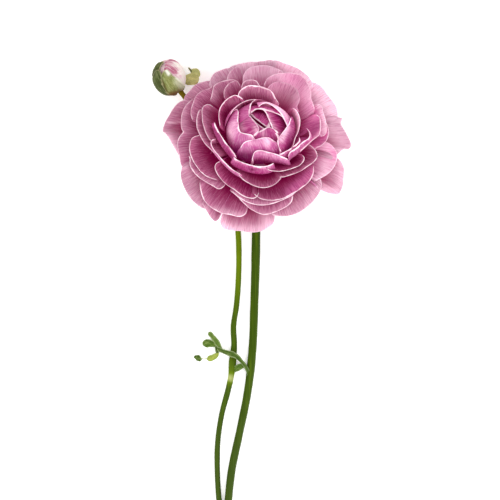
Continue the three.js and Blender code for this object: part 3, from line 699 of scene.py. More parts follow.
# Painted highlights (above 0) and painted shade (below 0) on the petals' faces. Each petal's number has
# its soft spots: two places on the plan, half width in plan steps, and how strong it is.
PAINTED_LIGHT_SPOTS = {
    2: [((267, 117), (276, 134), 2.6, 0.45), ((284, 120), (285, 128), 3.0, -0.5)],
    3: [((262, 131), (264, 136), 2.4, 0.35)],
    4: [((255, 128), (257, 133), 2.2, 0.5), ((243, 113), (249, 115), 2.0, 0.25),
        ((240, 118), (242, 130), 3.0, 0.3)],
    7: [((234, 141), (244, 148), 4.0, -0.42), ((236, 150), (244, 154), 3.0, -0.3),
        ((232, 150), (246, 158), 4.6, -0.75), ((236, 146), (244, 150), 3.0, -0.25),
        ((229, 131), (234, 124), 3.0, 0.4), ((231, 134), (234, 147), 4.0, 0.6),
        ((250, 137), (253, 139), 1.6, 0.6), ((240, 138), (248, 140), 3.0, -0.15)],
    8: [((244, 155), (262, 157), 4.6, -0.75), ((246, 149), (262, 150), 3.0, -0.2),
        ((266, 140), (268, 146), 4.0, 0.85), ((249, 143), (257, 145), 3.0, 0.3),
        ((272, 146), (264, 151), 3.0, -0.4)],
    9: [((232, 113), (240, 105), 1.8, 0.35)],
    10: [((262, 104), (284, 112), 2.6, 0.4), ((268, 102), (277, 106), 3.0, 0.8),
        ((278, 108), (287, 118), 2.6, 0.5)],
    11: [((281, 140), (288, 128), 3.2, 0.8), ((291, 126), (287, 146), 2.6, -0.5)],
    40: [((297.4, 110), (301, 126), 1.8, 1.0), ((301, 126), (296, 140), 1.6, 1.0),
        ((296, 112), (299, 128), 3.0, 0.5)],
    41: [((256, 153), (288, 159), 1.6, 0.3), ((258, 164), (284, 165), 2.6, -0.1),
        ((258, 154), (262, 153), 2.6, -0.15)],
    42: [((282, 154), (292, 150), 2.2, 0.1)],
    43: [((290, 155), (303, 145), 2.2, -0.1)],
    44: [((221, 130), (236, 152), 2.6, -0.6), ((226, 145), (234, 156), 2.0, 0.2),
        ((216.5, 124), (236, 156), 1.2, 0.35), ((215, 130), (233, 158), 1.8, -0.45)],
    45: [((236, 163), (252, 170), 1.8, -0.5), ((252, 170), (272, 169), 1.8, -0.5),
        ((236, 161), (246, 166), 1.8, 0.4), ((261, 168), (268, 168), 2.4, 0.8),
        ((234, 158), (254, 166.4), 1.0, 0.4), ((254, 166.4), (273, 164), 1.2, 0.6)],
    46: [((219, 150), (238, 170), 3.0, -0.6), ((215, 146), (219, 154), 2.0, -0.4),
        ((217, 157), (234, 173), 2.2, 0.08)],
    47: [((230, 103), (240, 100), 3.0, 0.2)],
    49: [((270, 166), (298, 160), 4.0, -0.4)],
    81: [((238, 171), (272, 173), 4.0, -0.45)],
    86: [((222, 170), (236, 184), 4.0, -0.3)],
    87: [((306, 140), (320, 124), 5.0, -0.45), ((303, 150), (320.5, 133), 2.0, 0.6)],
    88: [((262, 195), (288, 193), 5.0, -0.25)],
    89: [((214, 96), (222, 90), 5.0, 0.15)],
    92: [((196, 172), (214, 184), 3.0, 0.08)],
    93: [((274, 94), (292, 100), 9.0, 0.45), ((275, 93), (290, 98), 6.0, 0.15)],
    96: [((319, 106), (325, 120), 3.0, 0.9), ((325, 120), (325, 132), 2.4, 0.8),
        ((321, 128), (322, 135), 2.4, 0.6)],
    97: [((184, 106), (184, 126), 3.0, 0.15)],
    98: [((250, 74), (280, 74), 6.0, 0.4)],
    99: [((306, 86), (310, 98), 3.5, 0.3), ((280, 80), (306, 100), 10.0, 0.55)],
    100: [((232, 76), (241, 78), 4.0, 0.2)],
    101: [((325, 150), (324, 176), 7.0, 0.7)],
    103: [((216, 210), (242, 216), 3.4, 0.4)],
    120: [((183, 180), (196, 202), 6.0, -0.12)],
    123: [((306, 206), (318, 188), 4.0, 0.3)],
    124: [((330, 130), (342, 148), 7.0, 0.5), ((329, 120), (340, 121), 2.4, 0.5)],
    125: [((318, 88), (334, 112), 11.0, 0.95)],
    126: [((282, 62), (314, 86), 7.0, 0.95)],
    127: [((240, 64), (274, 60), 4.0, 0.45)],
    128: [((168, 136), (176, 152), 4.0, 0.6), ((168, 123), (181.5, 122.6), 0.9, 0.8),
        ((172.5, 125.2), (181, 126.4), 1.6, -0.3), ((166, 131), (178, 131.5), 2.6, 0.2)],
    130: [((341, 164), (340, 186), 4.0, 0.45), ((318, 182), (336, 193), 1.8, 1.0),
        ((322, 190), (334, 192), 4.0, 0.8)],
    131: [((264, 214), (271, 227), 6.0, 0.7), ((221, 218), (226, 230), 7.0, 0.9),
        ((228, 230), (268, 229), 5.0, 0.5)],
}
# Spots of strong pink, in the same way. Where they lie, the petal also takes a pink painted glow and less
# painted shade.
FLUSH = {
    10: [((264, 107), (282, 113), 2.4, 0.5)],
    47: [((231, 106), (242, 100), 3.0, 0.4)],
    87: [((302, 145), (318, 118), 12.0, 0.85)],
    88: [((290, 192), (311, 172), 6.0, 0.5)],
    93: [((276, 92), (294, 110), 9.0, 0.35)],
    96: [((302, 116), (318, 112), 9.0, 0.6), ((321, 126), (322, 135), 3.0, 0.5)],
    99: [((292, 84), (310, 104), 12.0, 0.7), ((272, 79), (288, 80), 6.0, 0.2)],
    101: [((318, 160), (332, 150), 12.0, 0.4), ((315, 151), (330, 157), 5.0, 0.6)],
    104: [((312, 146), (325, 134), 7.0, 0.7)],
}

# ---------------------------------------------------------------- shapes


def draw(i, k):
    """A repeatable draw from 0 to 1 for number i and purpose k."""
    x = math.sin(i * 12.9898 + k * 78.233) * 43758.5453
    return x - math.floor(x)


def ripple(x, i, first=2.2, step=1.9, waves=4):
    """A soft uneven wave from about -1 to 1, its own for each number i."""
    total = 0
    for k in range(waves):
        total = total + np.sin(x * (first + step * k) + 2 * math.pi * draw(i, 30 + k)) / (1 + 0.6 * k)
    return total / 1.8


def smoothstep(x, low, high):
    t = np.clip((np.asarray(x) - low) / (high - low), 0, 1)
    return t * t * (3 - 2 * t)


def look_up(table, x, column=1):
    """A column of a table, read straight between its rows for the value x of the first column."""
    return np.interp(x, [row[0] for row in table], [row[column] for row in table])


def unit(vectors):
    return vectors / np.maximum(1e-9, np.linalg.norm(vectors, axis=-1, keepdims=True))


def cubic(points, t):
    """Places on the curve that four points give."""
    a, b, c, d = points
    return a * (1 - t) ** 3 + 3 * b * t * (1 - t) ** 2 + 3 * c * t**2 * (1 - t) + d * t**3


def through(points, steps):
    """Evenly counted places on a smooth line through points, the last column read straight between them."""
    nodes = np.array(points, float)
    n = len(nodes)
    line = []
    for k in range(steps + 1):
        t = k / steps * (n - 1)
        i = min(n - 2, int(t))
        w = t - i
        p1, p2 = nodes[i, :3], nodes[i + 1, :3]
        p0 = nodes[i - 1, :3] if i > 0 else 2 * p1 - p2
        p3 = nodes[i + 2, :3] if i + 2 < n else 2 * p2 - p1
        d0, d1, d2 = [max(1e-4, math.sqrt(np.linalg.norm(q - p))) for p, q in ((p0, p1), (p1, p2), (p2, p3))]
        t1 = ((p1 - p0) / d0 - (p2 - p0) / (d0 + d1) + (p2 - p1) / d1) * d1
        t2 = ((p2 - p1) / d1 - (p3 - p1) / (d1 + d2) + (p3 - p2) / d2) * d1
        place = p1 + t1 * w + (-3 * p1 + 3 * p2 - 2 * t1 - t2) * w**2 + (2 * p1 - 2 * p2 + t1 + t2) * w**3
        line.append([*place, nodes[i, 3] * (1 - w) + nodes[i + 1, 3] * w])
    return np.array(line)


def frame_at(seat, tilt, turn):
    place = Matrix.Translation(seat) @ Matrix.Rotation(math.radians(turn), 4, "Z")
    return np.array(place @ Matrix.Rotation(math.radians(tilt), 4, "X"))


BLOOM_FRAME = frame_at(BLOOM_SEAT, BLOOM_TILT, -BLOOM_LEAN)
BUD_FRAME = frame_at(BUD_SEAT, BUD_TILT, BUD_TURN)
# The end of the side shoot's way, which passes under the bloom.
SHOOT_LINE = through([(x, y, 0, 0) for x, y, z, r in SHOOT[-6:]], 40)[:, :2]


def placed(points, matrix):
    return points @ matrix[:3, :3].T + matrix[:3, 3]


def lie_on_table(points):
    """Petals that reach the table or the side shoot lie along it."""
    near = np.sqrt(((points[..., None, :2] - SHOOT_LINE) ** 2).sum(-1)).min(-1)
    low = PETAL_REST + SHOOT_REST * np.exp(-((near / SHOOT_REACH) ** 4))
    over = points[..., 2] - low
    points[..., 2] = low + (over + np.hypot(over, 0.8)) / 2 - 0.16
    return points


def near_line(points, a, b, width):
    """A soft spot along a line on a plan, 1 on the line and 0 well away from it."""
    a, b = np.array(a), np.array(b)
    run = b - a
    t = np.clip(((points[..., :2] - a) @ run) / (run @ run), 0, 1)
    away = np.linalg.norm(points[..., :2] - (a + t[..., None] * run), axis=-1)
    return np.exp(-((away / width) ** 2))


def on_plan(points):
    """The places of the plan at which points of the world show."""
    return points[..., :2] / PLAN_STEP * (1, -1) + PLAN_ORIGIN


def from_plan(plan):
    """Where places of the plan lie on the table."""
    return (plan - np.array(PLAN_ORIGIN)) * (PLAN_STEP, -PLAN_STEP)


def distance_to(border, points):
    """How far each point of a grid is from a line of points."""
    a, b = border[:-1], border[1:]
    run = b - a
    size = np.maximum(1e-9, (run**2).sum(-1))
    flat = points.reshape(-1, 3)
    t = np.clip(((flat[:, None] - a) * run).sum(-1) / size, 0, 1)
    away = flat[:, None] - (a + t[..., None] * run)
    return np.sqrt((away**2).sum(-1)).min(-1).reshape(points.shape[:2])


class Pile:
    """Closed shells gathered in one mesh, with what its material reads. None lies below the table."""

    def __init__(self):
        self.points, self.faces, self.uv, self.readings, self.count = [], [], [], {}, 0

    def add(self, points, faces, uv, **readings):
        n = len(points)
        self.faces.append(np.asarray(faces) + self.count)
        self.points.append(np.maximum(points, (-np.inf, -np.inf, 0.0)))
        self.uv.append(uv)
        for name, value in readings.items():
            self.readings.setdefault(name, []).append(np.broadcast_to(np.asarray(value, float), (n,)))
        self.count += n

    def shell(self, grid, thick, thin, **readings):
        """A closed blade on a grid of middle points, with their places along and across, that thins to its
        edges. Its second face looks outwards."""
        points, along, across = grid
        nr, nc = points.shape[:2]
        rim = distance_to(points[-1], points)
        edge = np.minimum(rim, distance_to(np.concatenate([points[:, 0], points[:0:-1, -1]]), points))
        # The margin's line fades out where the rim ends at the petal's sides.
        rim = rim + 0.7 * smoothstep(np.abs(np.linspace(-1, 1, nc)), 0.88, 1.0)
        normal = unit(np.cross(np.gradient(points, axis=1), np.gradient(points, axis=0)))
        half = (thin + (thick - thin) * np.minimum(1, edge / THIN_BAND))[..., None] / 2
        both = np.concatenate([(points + side * normal * half).reshape(-1, 3) for side in (-1, 1)])
        ids = np.arange(nr * nc).reshape(nr, nc)
        face = np.stack([ids[:-1, :-1], ids[:-1, 1:], ids[1:, 1:], ids[1:, :-1]], -1).reshape(-1, 4)
        top = nr * nc
        sides = [np.stack([a, b, b + top, a + top], -1) for a, b in (
            (ids[0, :-1], ids[0, 1:]), (ids[-1, 1:], ids[-1, :-1]), (ids[1:, 0], ids[:-1, 0]),
            (ids[:-1, -1], ids[1:, -1]))]
        uv = np.stack([across.ravel(), along.ravel()], -1)
        readings = {name: np.tile(np.ravel(value), 2) if np.ndim(value) else value
                    for name, value in {**readings, "edge": edge, "rim": rim}.items()}
        self.add(both, np.concatenate([face + top, face[:, ::-1], *sides]), np.tile(uv, (2, 1)),
                 outer=np.repeat([0.0, 1.0], top), **readings)

    def turned(self, profile, segments, matrix, **readings):
        """A closed form turned round the axis from (distance, height) points, both ends on the axis."""
        angle = np.linspace(0, 2 * math.pi, segments, endpoint=False)
        rings = []
        for number, (r, z) in enumerate(profile):
            turn = angle if 0 < number < len(profile) - 1 else angle[:1]
            rings.append(placed(np.stack([r * np.cos(turn), r * np.sin(turn), 0 * turn + z], -1), matrix))
        points = np.concatenate(rings)
        k = np.arange(segments)
        j = (k + 1) % segments
        faces = [np.stack([k * 0, j + 1, k + 1, k + 1], -1)]
        for ring in range(len(profile) - 3):
            base = 1 + ring * segments
            faces.append(np.stack([base + k, base + j, base + j + segments, base + k + segments], -1))
        base, last = 1 + (len(profile) - 3) * segments, len(points) - 1
        faces.append(np.stack([base + k, base + j, k * 0 + last, k * 0 + last], -1))
        self.add(points, np.concatenate(faces), np.zeros((len(points), 2)), **readings)

    def mesh(self, name, material):
        points = np.concatenate(self.points) * MM
        faces = [tuple(dict.fromkeys(f)) for f in np.concatenate(self.faces).tolist()]
        mesh = bpy.data.meshes.new(name)
        mesh.from_pydata(points.tolist(), [], faces)
        uv = np.concatenate(self.uv)
        corner = np.zeros(len(mesh.loops), np.int32)
        mesh.loops.foreach_get("vertex_index", corner)
        mesh.uv_layers.new(name="UVMap").data.foreach_set("uv", uv[corner].ravel())
        for label, parts in self.readings.items():
            layer = mesh.attributes.new(label, "FLOAT", "POINT")
            layer.data.foreach_set("value", np.concatenate(parts))
        mesh.polygons.foreach_set("use_smooth", [True] * len(mesh.polygons))
        mesh.materials.append(material)
        mesh.validate()
        piece = bpy.data.objects.new(name, mesh)
        bpy.context.scene.collection.objects.link(piece)
        return piece


def keep(piece, slot, *nodes):
    """Puts a finished piece on the plant: it rides with it and stands for its nodes; its finish slot is not
    used.
    """
    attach(piece, "root")
    if nodes:
        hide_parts(*nodes)


# ---------------------------------------------------------------- the bloom


def seen(plan, lift, tuck=0.0):
    """The places in the bloom's own frame, at their height on the dome, that show at places of the plan."""
    from_middle = np.abs(np.linspace(-1, 1, len(plan)))
    lift = np.array([lift + sum(p[2:]) for p in plan]) - tuck * from_middle**4
    east, north = (from_plan(np.array([p[:2] for p in plan], float)) - BLOOM_SEAT[:2]).T
    turn, tilt = math.radians(BLOOM_LEAN), math.radians(-BLOOM_TILT)
    x = east * math.cos(turn) - north * math.sin(turn)
    rest = east * math.sin(turn) + north * math.cos(turn)
    # The height on the dome is closed in on step by step, as the place on the dome hangs on it in turn.
    z = np.full(len(plan), 10.0)
    for _ in range(160):
        y = (rest - math.sin(tilt) * z) / math.cos(tilt)
        z = z + 0.3 * (look_up(DOME, np.hypot(x, y)) + lift - z)
    return np.stack([x, y, z], -1)


def even_line(points, count):
    """Places evenly spaced by length on a smooth line through points, and the line's length."""
    fine = through([(*p, 0) for p in points], 8 * len(points))[:, :3]
    run = np.concatenate([[0], np.cumsum(np.linalg.norm(np.diff(fine, axis=0), axis=1))])
    at = np.linspace(0, run[-1], count)
    return np.stack([np.interp(at, run, fine[:, k]) for k in range(3)], -1), run[-1]


def standing(far, azimuth, height):
    """Places at distances from the axis, azimuths and heights."""
    return np.stack(np.broadcast_arrays(far * np.cos(azimuth), far * np.sin(azimuth), height), -1)


def blade(i, controls, rows, length, ruffle):
    """A petal's middle surface: a curve from foot to rim for each place across."""
    s = (1 - (1 - np.linspace(0, 1, rows + 1)) ** 1.35)[:, None]
    points = cubic([p[None] for p in controls], s[..., None])
    across = np.linspace(0, length, points.shape[1])[None, :]
    normal = unit(np.cross(np.gradient(points, axis=1), np.gradient(points, axis=0)))
    wave = ruffle * smoothstep(s, 0.6, 1.0) * ripple(across * 0.22, i + 200, 1.4, 1.2)
    return points + normal * wave[..., None], s + 0 * across, across / VEIN_WIDTH + 0 * s


def closed_petal(i, belly, azimuths, rim, rows, columns):
    rim, length = even_line(rim, columns + 1)
    turn = np.radians(np.linspace(*azimuths, columns + 1))
    foot_far, foot_high = [look_up(CLOSED_HABIT, belly, column) for column in (1, 2)]
    tip = rim[:, 0] * np.cos(turn) + rim[:, 1] * np.sin(turn)
    belly = belly * (1 - FAR_SIDE_FLAT * np.clip(np.sin(turn), 0, 1) ** 1.5)
    # Both middle controls stand where they bring the middle of the curve out to the belly.
    reach = (belly - (foot_far + tip) / 8) * 4 / 3
    foot = standing(foot_far, turn.mean() + FOOT_SPREAD * (turn - turn.mean()), foot_high)
    low = standing(reach, turn, foot_high + 1)
    high = standing(reach, turn, rim[:, 2] - 5 + np.clip(belly - tip, 0, 6))
    return blade(i, (foot, low, high, rim), rows, length, 0.12)


def open_petal(i, rim, rows, columns, slope=None, ruffle=0.2):
    rim, length = even_line(rim, columns + 1)
    far = np.hypot(rim[:, 0], rim[:, 1])
    turn = np.unwrap(np.arctan2(rim[:, 1], rim[:, 0]))
    middle = turn[len(turn) // 2]
    foot_far, foot_high, rise, end = [look_up(HABIT, far.max(), column) for column in (1, 2, 3, 4)]
    rise, end = math.radians(rise), math.radians(end if slope is None else slope)
    foot = standing(foot_far, middle + FOOT_SPREAD * (turn - middle), foot_high)
    pull = PULL * np.linalg.norm(rim - foot, axis=-1)
    low = foot + standing(pull * math.cos(rise), middle + LOW_SPREAD * (turn - middle), pull * math.sin(rise))
    high = standing(far - pull * math.cos(end), middle + HIGH_SPREAD * (turn - middle),
                    rim[:, 2] - pull * math.sin(end))
    return blade(i, (foot, low, high, rim), rows, length, ruffle)


def filler_rim(k):
    """The rim of a petal that the plan doesn't show, a little inside and below its neighbours."""
    age = ((k + 0.5) / FILLERS) ** 1.6
    far, drop, half = [
        first + (last - first) * age for first, last in (FILLER_REACH, FILLER_DROP, FILLER_HALF)]
    c = np.linspace(-1, 1, 11) * math.pi / 2
    out = far - 0.3 * far * (1 - np.cos(c) ** 0.7)
    side = half * np.sin(c)
    away = np.hypot(out, side)
    return standing(away, k * GOLDEN_ANGLE + np.arctan2(side, out), look_up(DOME, away) - drop)


def spots_on(plan, spots):
    """How much of a petal's spots each of its places on the plan has."""
    none = np.zeros(plan.shape[:-1])
    return sum([strength * near_line(plan, a, b, width) for a, b, width, strength in spots], none)


def petal_piece(name, petals, *nodes):
    """One piece of petals, each as number, surface, how clear its margin is and how pale it is."""
    pile = Pile()
    for i, (points, along, across), crisp, pale in petals:
        # Deeper below the dome a petal is darker: partly its own deeper tint, partly painted shade.
        tint_and_shade_below_dome = smoothstep(look_up(DOME, np.hypot(points[..., 0], points[..., 1])) - points[..., 2], *DOME_TINT_AND_SHADE)
        tint_and_shade_below_dome = np.maximum(tint_and_shade_below_dome, FILLER_TINT_AND_SHADE * (i >= FIRST_FILLER))
        points = lie_on_table(placed(points, BLOOM_FRAME))
        plan = on_plan(points)
        # Spots above 0 are painted highlights, and those below 0 are painted shade.
        spots, flush = spots_on(plan, PAINTED_LIGHT_SPOTS.get(i, [])), spots_on(plan, FLUSH.get(i, []))
        pile.shell((points, along, across), PETAL_THICK, PETAL_THIN, lot=draw(i, 8), pale=pale, crisp=crisp,
                   deep=tint_and_shade_below_dome, opened=i >= FIRST_OPEN, faded=FIRST_FRINGE <= i < FIRST_FILLER,
                   bright=np.maximum(0, spots), shade=np.maximum(0, -spots), flush=flush)
    keep(pile.mesh(name, MAUVE_PETAL), "petal_pink", *nodes)


def make_bloom():
    heart = [(i, closed_petal(i, belly, azimuths, seen(rim, lift), *CLOSED_GRID), HEART_MARGIN, pale)
             for i, (belly, azimuths, lift, pale, rim) in enumerate(CLOSED)]
    heart += [(i, open_petal(i, seen(rim, lift), *UPRIGHT_GRID, slope, 0.1), HEART_MARGIN, pale)
              for i, (slope, lift, pale, rim) in enumerate(UPRIGHT, FIRST_UPRIGHT)]
    petal_piece("heart_petals", heart, "flower_petals")
    petal_piece("open_petals", [(i, open_petal(i, seen(rim, 0.0, OPEN_TUCK), *OPEN_GRID), crisp, pale)
                                for i, (crisp, pale, rim) in enumerate(OPEN, FIRST_OPEN)])
    petal_piece("fringe_petals", [
        (i, open_petal(i, seen(rim, 0.0, FRINGE_TUCK), *FRINGE_GRID, None, 0.3), crisp, pale)
        for i, (crisp, pale, rim) in enumerate(FRINGE, FIRST_FRINGE)])
    petal_piece("under_petals", [
        (FIRST_FILLER + k, open_petal(FIRST_FILLER + k, filler_rim(k), *FILLER_GRID), 0.0,
         FILLER_PALE[0] + (FILLER_PALE[1] - FILLER_PALE[0]) * k / FILLERS) for k in range(FILLERS)])
    core = Pile()
    core.turned(HEART_CORE, 28, BLOOM_FRAME)
    keep(core.mesh("dark_heart", DARK_HEART), "petal_pink")


make_bloom()

# ---------------------------------------------------------------- calyx, bud and leaves

# The bloom's sepals: the curve from foot to tip, as distance from the axis and height, and their half width.
BLOOM_SEPAL = ((3.6, -0.5), (8, 0.0), (12, -2.0), (15.5, -6.0))
BLOOM_SEPAL_HALF = 5.2
BLOOM_SEPALS = 5
FIRST_SEPAL_AT = 54  # degrees
CALYX_DISC = [(0, -1.4), (4.2, -1.2), (5.6, -0.4), (5.0, 0.4), (0, 0.4)]
# The bud is a ball, a little longer than wide. Its blades grow from its foot, and their rims are on the plan.
BUD_MIDDLE = np.array([-39.3, 124.2, 8.4])
BUD_RADII = np.array([8.0, 8.0, 9.2])
BUD_FOOT = (179.5, 91.0)
BUD_FOOT_SPREAD = 0.18
BUD_CORE, BUD_SKIN = 0.91, 0.95  # how far out the bud's core and the feet of its blades lie, as in the tables
# Each sepal and petal of the bud: how far out it lies, as a share of the ball, and which side of the ball its
# rim is on. A sepal also has how dark it is, and the place that it grows by way of if it isn't straight.
BUD_SEPALS = [
    (0.99, -1, 0.7, None, [
        (154.5, 86), (153.5, 76), (157, 67), (164, 62), (173, 62), (180, 68), (184, 76), (184.5, 84)]),
    (1.0, 1, 0.92, (157, 82), [
        (164.6, 61.6), (162, 61.6), (159.5, 62.2), (157, 64), (154, 68), (152.8, 71), (152.4, 75)]),
    (1.035, 1, 0.97, None, [
        (167.5, 94.4), (163.8, 89), (162, 84), (161, 79), (161.3, 74.5), (160.3, 71.4), (158, 69.9),
        (155.6, 70.8), (153.8, 73.4), (152.8, 77), (152.6, 82)]),
    (1.06, 1, 0.6, None, [
        (170, 94.8), (166, 91.5), (163.8, 87.5), (162.2, 83), (161.2, 78.5), (161.6, 75), (163, 72.3),
        (165, 70.2), (167.6, 69.6), (169.2, 71.4), (170.2, 74), (172.5, 76), (175.5, 77.2), (178.5, 78.8),
        (181.5, 81.4), (184, 84.6), (184.8, 88)]),
]
BUD_PETALS = [
    (0.935, 1, [(163.6, 63), (167.5, 60.4), (171.5, 59), (175.5, 59.8), (178.6, 61.8), (180, 66)]),
    (0.95, 1, [
        (163.4, 65.5), (166, 63.4), (169, 64), (172, 65.8), (176, 66.4), (179, 64.5), (180.5, 62.8)]),
    (0.965, 1, [
        (163, 69.5), (165.4, 66.8), (168.5, 67), (172, 69.6), (176, 71.6), (179.6, 70.5), (182, 67.5),
        (183.5, 70)]),
    (0.985, 1, [
        (163, 73), (166.4, 70), (169.6, 71.6), (173, 74), (177, 74.8), (180.4, 73.6), (183, 71.4),
        (184.6, 74), (185.4, 79)]),
]
# Soft spots on the bud: pink ones on its petals, and bleached ones, brown ones and dark ones of painted shade
# on its sepals. Each has two places on the plan, a half width in plan steps, and its strength.
BUD_BLUSH = [
    ((167.4, 67), (174.4, 71.6), 4.4, 0.72), ((167, 59.4), (178.5, 60.6), 2.2, 0.9),
    ((163.2, 61), (165.2, 71), 4.4, 0.85), ((171, 74), (179, 76), 3.0, 0.2),
    ((166, 61.5), (171, 63), 2.8, 0.4),
]
SEPAL_BLEACH = [
    ((166, 69.6), (169, 74), 1.5, 1.0), ((177, 78), (184, 84), 2.0, 0.75), ((177, 82), (183, 88), 3.0, 0.3),
]
SEPAL_PAINTED_SHADE = [
    ((153, 74), (158, 69.5), 1.4, 0.5), ((161.4, 76), (166, 92), 1.6, 0.35),
    ((161.6, 66), (162, 72), 1.4, 0.4),
]
SEPAL_BROWN = [((171, 94.4), (184, 90.6), 3.0, 0.95), ((162.4, 80), (168, 93), 1.0, 0.35)]
# The sepal that bends away from the bud, and the leaves' lobes: how dark, how folded, and their middle lines
# as places on the plan, height, and half width in plan steps.
BENT_AWAY = [
    (0.0, -0.3, [
        (184, 80.8, 5.8, 3.4), (187, 80, 6.2, 5.0), (191, 79, 6.7, 6.1), (195, 78.2, 7.0, 5.9),
        (198.9, 77.6, 7.2, 4.6)]),
    (0.2, 0.2, [
        (190.4, 71.9, 7.6, 1.2), (193, 70.8, 8.2, 2.3), (196, 71.2, 8.4, 3.0), (198.2, 74, 8.2, 2.4),
        (198.9, 77, 7.8, 1.0)]),
    (0.95, 0.0, [(192, 72, 7.8, 1.0), (190.2, 69.6, 8.5, 1.0), (188.3, 67.4, 9.2, 0.9)]),
]
LEAF_LOBES = [
    (0.85, 0.3, [
        (249.3, 377, 2.6, 1.6), (247.8, 371.5, 3.4, 1.8), (245.3, 366.5, 4.0, 1.8),
        (241.5, 361.5, 4.3, 1.7), (237, 356.8, 4.6, 2.3), (232, 354.4, 4.6, 3.2), (227, 352.8, 3.8, 2.3),
        (222.5, 351.2, 2.6, 2.0), (219, 349.4, 2.0, 2.2), (215.6, 347, 1.6, 1.8)]),
    (0.62, 0.3, [
        (221.6, 351, 2.2, 1.3), (219.6, 347.5, 1.6, 2.1), (216.8, 342.5, 1.2, 2.7), (213, 337.5, 0.9, 2.3),
        (210.4, 334.4, 0.8, 2.3), (208.4, 332.4, 0.8, 2.2)]),
    (0.75, -0.15, [
        (217.4, 346.8, 1.4, 1.2), (214, 345, 1.5, 2.4), (210.5, 343.8, 1.6, 3.8), (207, 343.6, 1.5, 4.2),
        (204.4, 344.2, 1.3, 3.4), (202.6, 345, 1.0, 1.6)]),
    (0.98, 0.0, [(217.4, 353.4, 2.0, 1.5), (216.7, 349.5, 1.9, 1.8), (216, 345.6, 1.7, 1.5)]),
    (0.12, -0.2, [
        (218, 352, 1.9, 1.3), (216.5, 355, 1.6, 2.2), (213.6, 357.3, 1.5, 2.8), (210.4, 358.6, 1.4, 3.0),
        (206.8, 359.6, 1.0, 2.2)]),
    (0.2, 0.0, [(208.5, 359.3, 0.8, 0.4), (204, 358.8, 0.7, 0.2), (200.5, 358.8, 0.7, 0.4)]),
    (0.85, 0.1, [
        (201, 361, 0.7, 1.2), (199.5, 359.6, 0.7, 2.5), (197.5, 358, 0.9, 3.1), (195.2, 357.4, 0.8, 1.8),
        (193.6, 357.8, 0.7, 0.8)]),
]
SHOOT_LEAF = (0.72, 0.25, [
    (233.4, 370, 2.0, 3.0), (237, 368.4, 2.6, 3.2), (241, 366.4, 3.0, 2.9), (244.5, 365.6, 3.3, 2.2),
    (247, 365.4, 3.4, 1.2)])
BLOOM_SEPAL_GRID, BUD_SEPAL_GRID, BUD_PETAL_GRID = (24, 24), (34, 44), (30, 40)
BENT_SEPAL_GRID, LOBE_GRID = (30, 16), (34, 12)
UNMARKED = {"edge": 9.0, "rim": 9.0, "outer": 1.0, "lot": 0.3}  # for a form without margins


def bloom_sepal(i, azimuth, rows, columns):
    """The middle surface of a sepal that bends back from the calyx, with its ribs."""
    across = np.sin(math.pi / 2 * np.linspace(-1, 1, columns + 1))[None, :]
    v = 1 - (1 - np.linspace(0, 1, rows + 1)[:, None]) ** 1.4
    tip = 0.58 + 0.42 * np.sqrt(1 - np.abs(across) ** 2.3)
    s = tip * (1 + 0.012 * ripple(across * 2, i)) * v
    t = s[..., None]
    a, b, c, d = [np.array(p, float) for p in BLOOM_SEPAL]
    far, height = np.moveaxis(cubic((a, b, c, d), t), -1, 0)
    slope = unit(3 * (b - a) * (1 - t) ** 2 + 6 * (c - b) * t * (1 - t) + 3 * (d - c) * t**2)
    width = across * BLOOM_SEPAL_HALF * (0.15 + 0.85 * np.sin(math.pi / 2 * np.minimum(1, s / 0.72)) ** 2)
    bend = np.maximum(far, BLOOM_SEPAL_HALF / 1.3)
    lift = 0.3 * smoothstep(v, 0.55, 1.0) * ripple(across * 3.2, i + 200)
    lift = lift - 0.1 * np.cos(across * 17) * smoothstep(v, 0.1, 0.4) * smoothstep(v, 1.0, 0.8)
    out = far - bend + bend * np.cos(width / bend) - lift * slope[..., 1]
    side = bend * np.sin(width / bend)
    points = np.stack([out, side, height + lift * slope[..., 0]], -1)
    turn = np.array(Matrix.Rotation(math.radians(azimuth), 4, "Z"))
    return placed(placed(points, turn), BLOOM_FRAME), s, (across + 1) / 2 + 0 * s


def lobe(nodes, rows, columns, fold):
    """A lobe's middle points round a line of plan places, folded along its midrib, with a rounded tip."""
    line = np.array(nodes, float)
    line[:, :2] = from_plan(line[:, :2])
    line[:, 3] *= PLAN_STEP
    line = through(line, rows)
    side = unit(np.cross(np.gradient(line[:, :3], axis=0), (0, 0, 1.0)))
    t = np.linspace(0, 1, rows + 1)
    uneven = 1 + 0.06 * ripple(t * 7, int(nodes[0][1]))
    half = line[:, 3] * np.sqrt(np.clip((1 - t) / 0.12, 0.02, 1)) * uneven
    c = np.sin(math.pi / 2 * np.linspace(-1, 1, columns + 1))[None, :]
    points = line[:, None, :3] + side[:, None] * (c * half[:, None])[..., None]
    points[..., 2] += fold * half[:, None] * np.abs(c) ** 1.5
    return points, t[:, None] + 0 * c, (c + 1) / 2 + 0 * t[:, None]


def over_bud(plan, size, side=1):
    """Directions from the bud's middle, in its own frame, to its places that show at places of the plan."""
    flat = from_plan(np.atleast_2d(np.array(plan, float)))
    start = (np.column_stack([flat, 0 * flat[:, 0]]) - BUD_MIDDLE) @ BUD_FRAME[:3, :3] / (BUD_RADII * size)
    rise = BUD_FRAME[2, :3] / (BUD_RADII * size)
    a, b, c = rise @ rise, start @ rise, (start**2).sum(-1) - 1
    up = (side * np.sqrt(np.maximum(0, b * b - a * c)) - b) / a
    return unit(start + up[:, None] * rise)


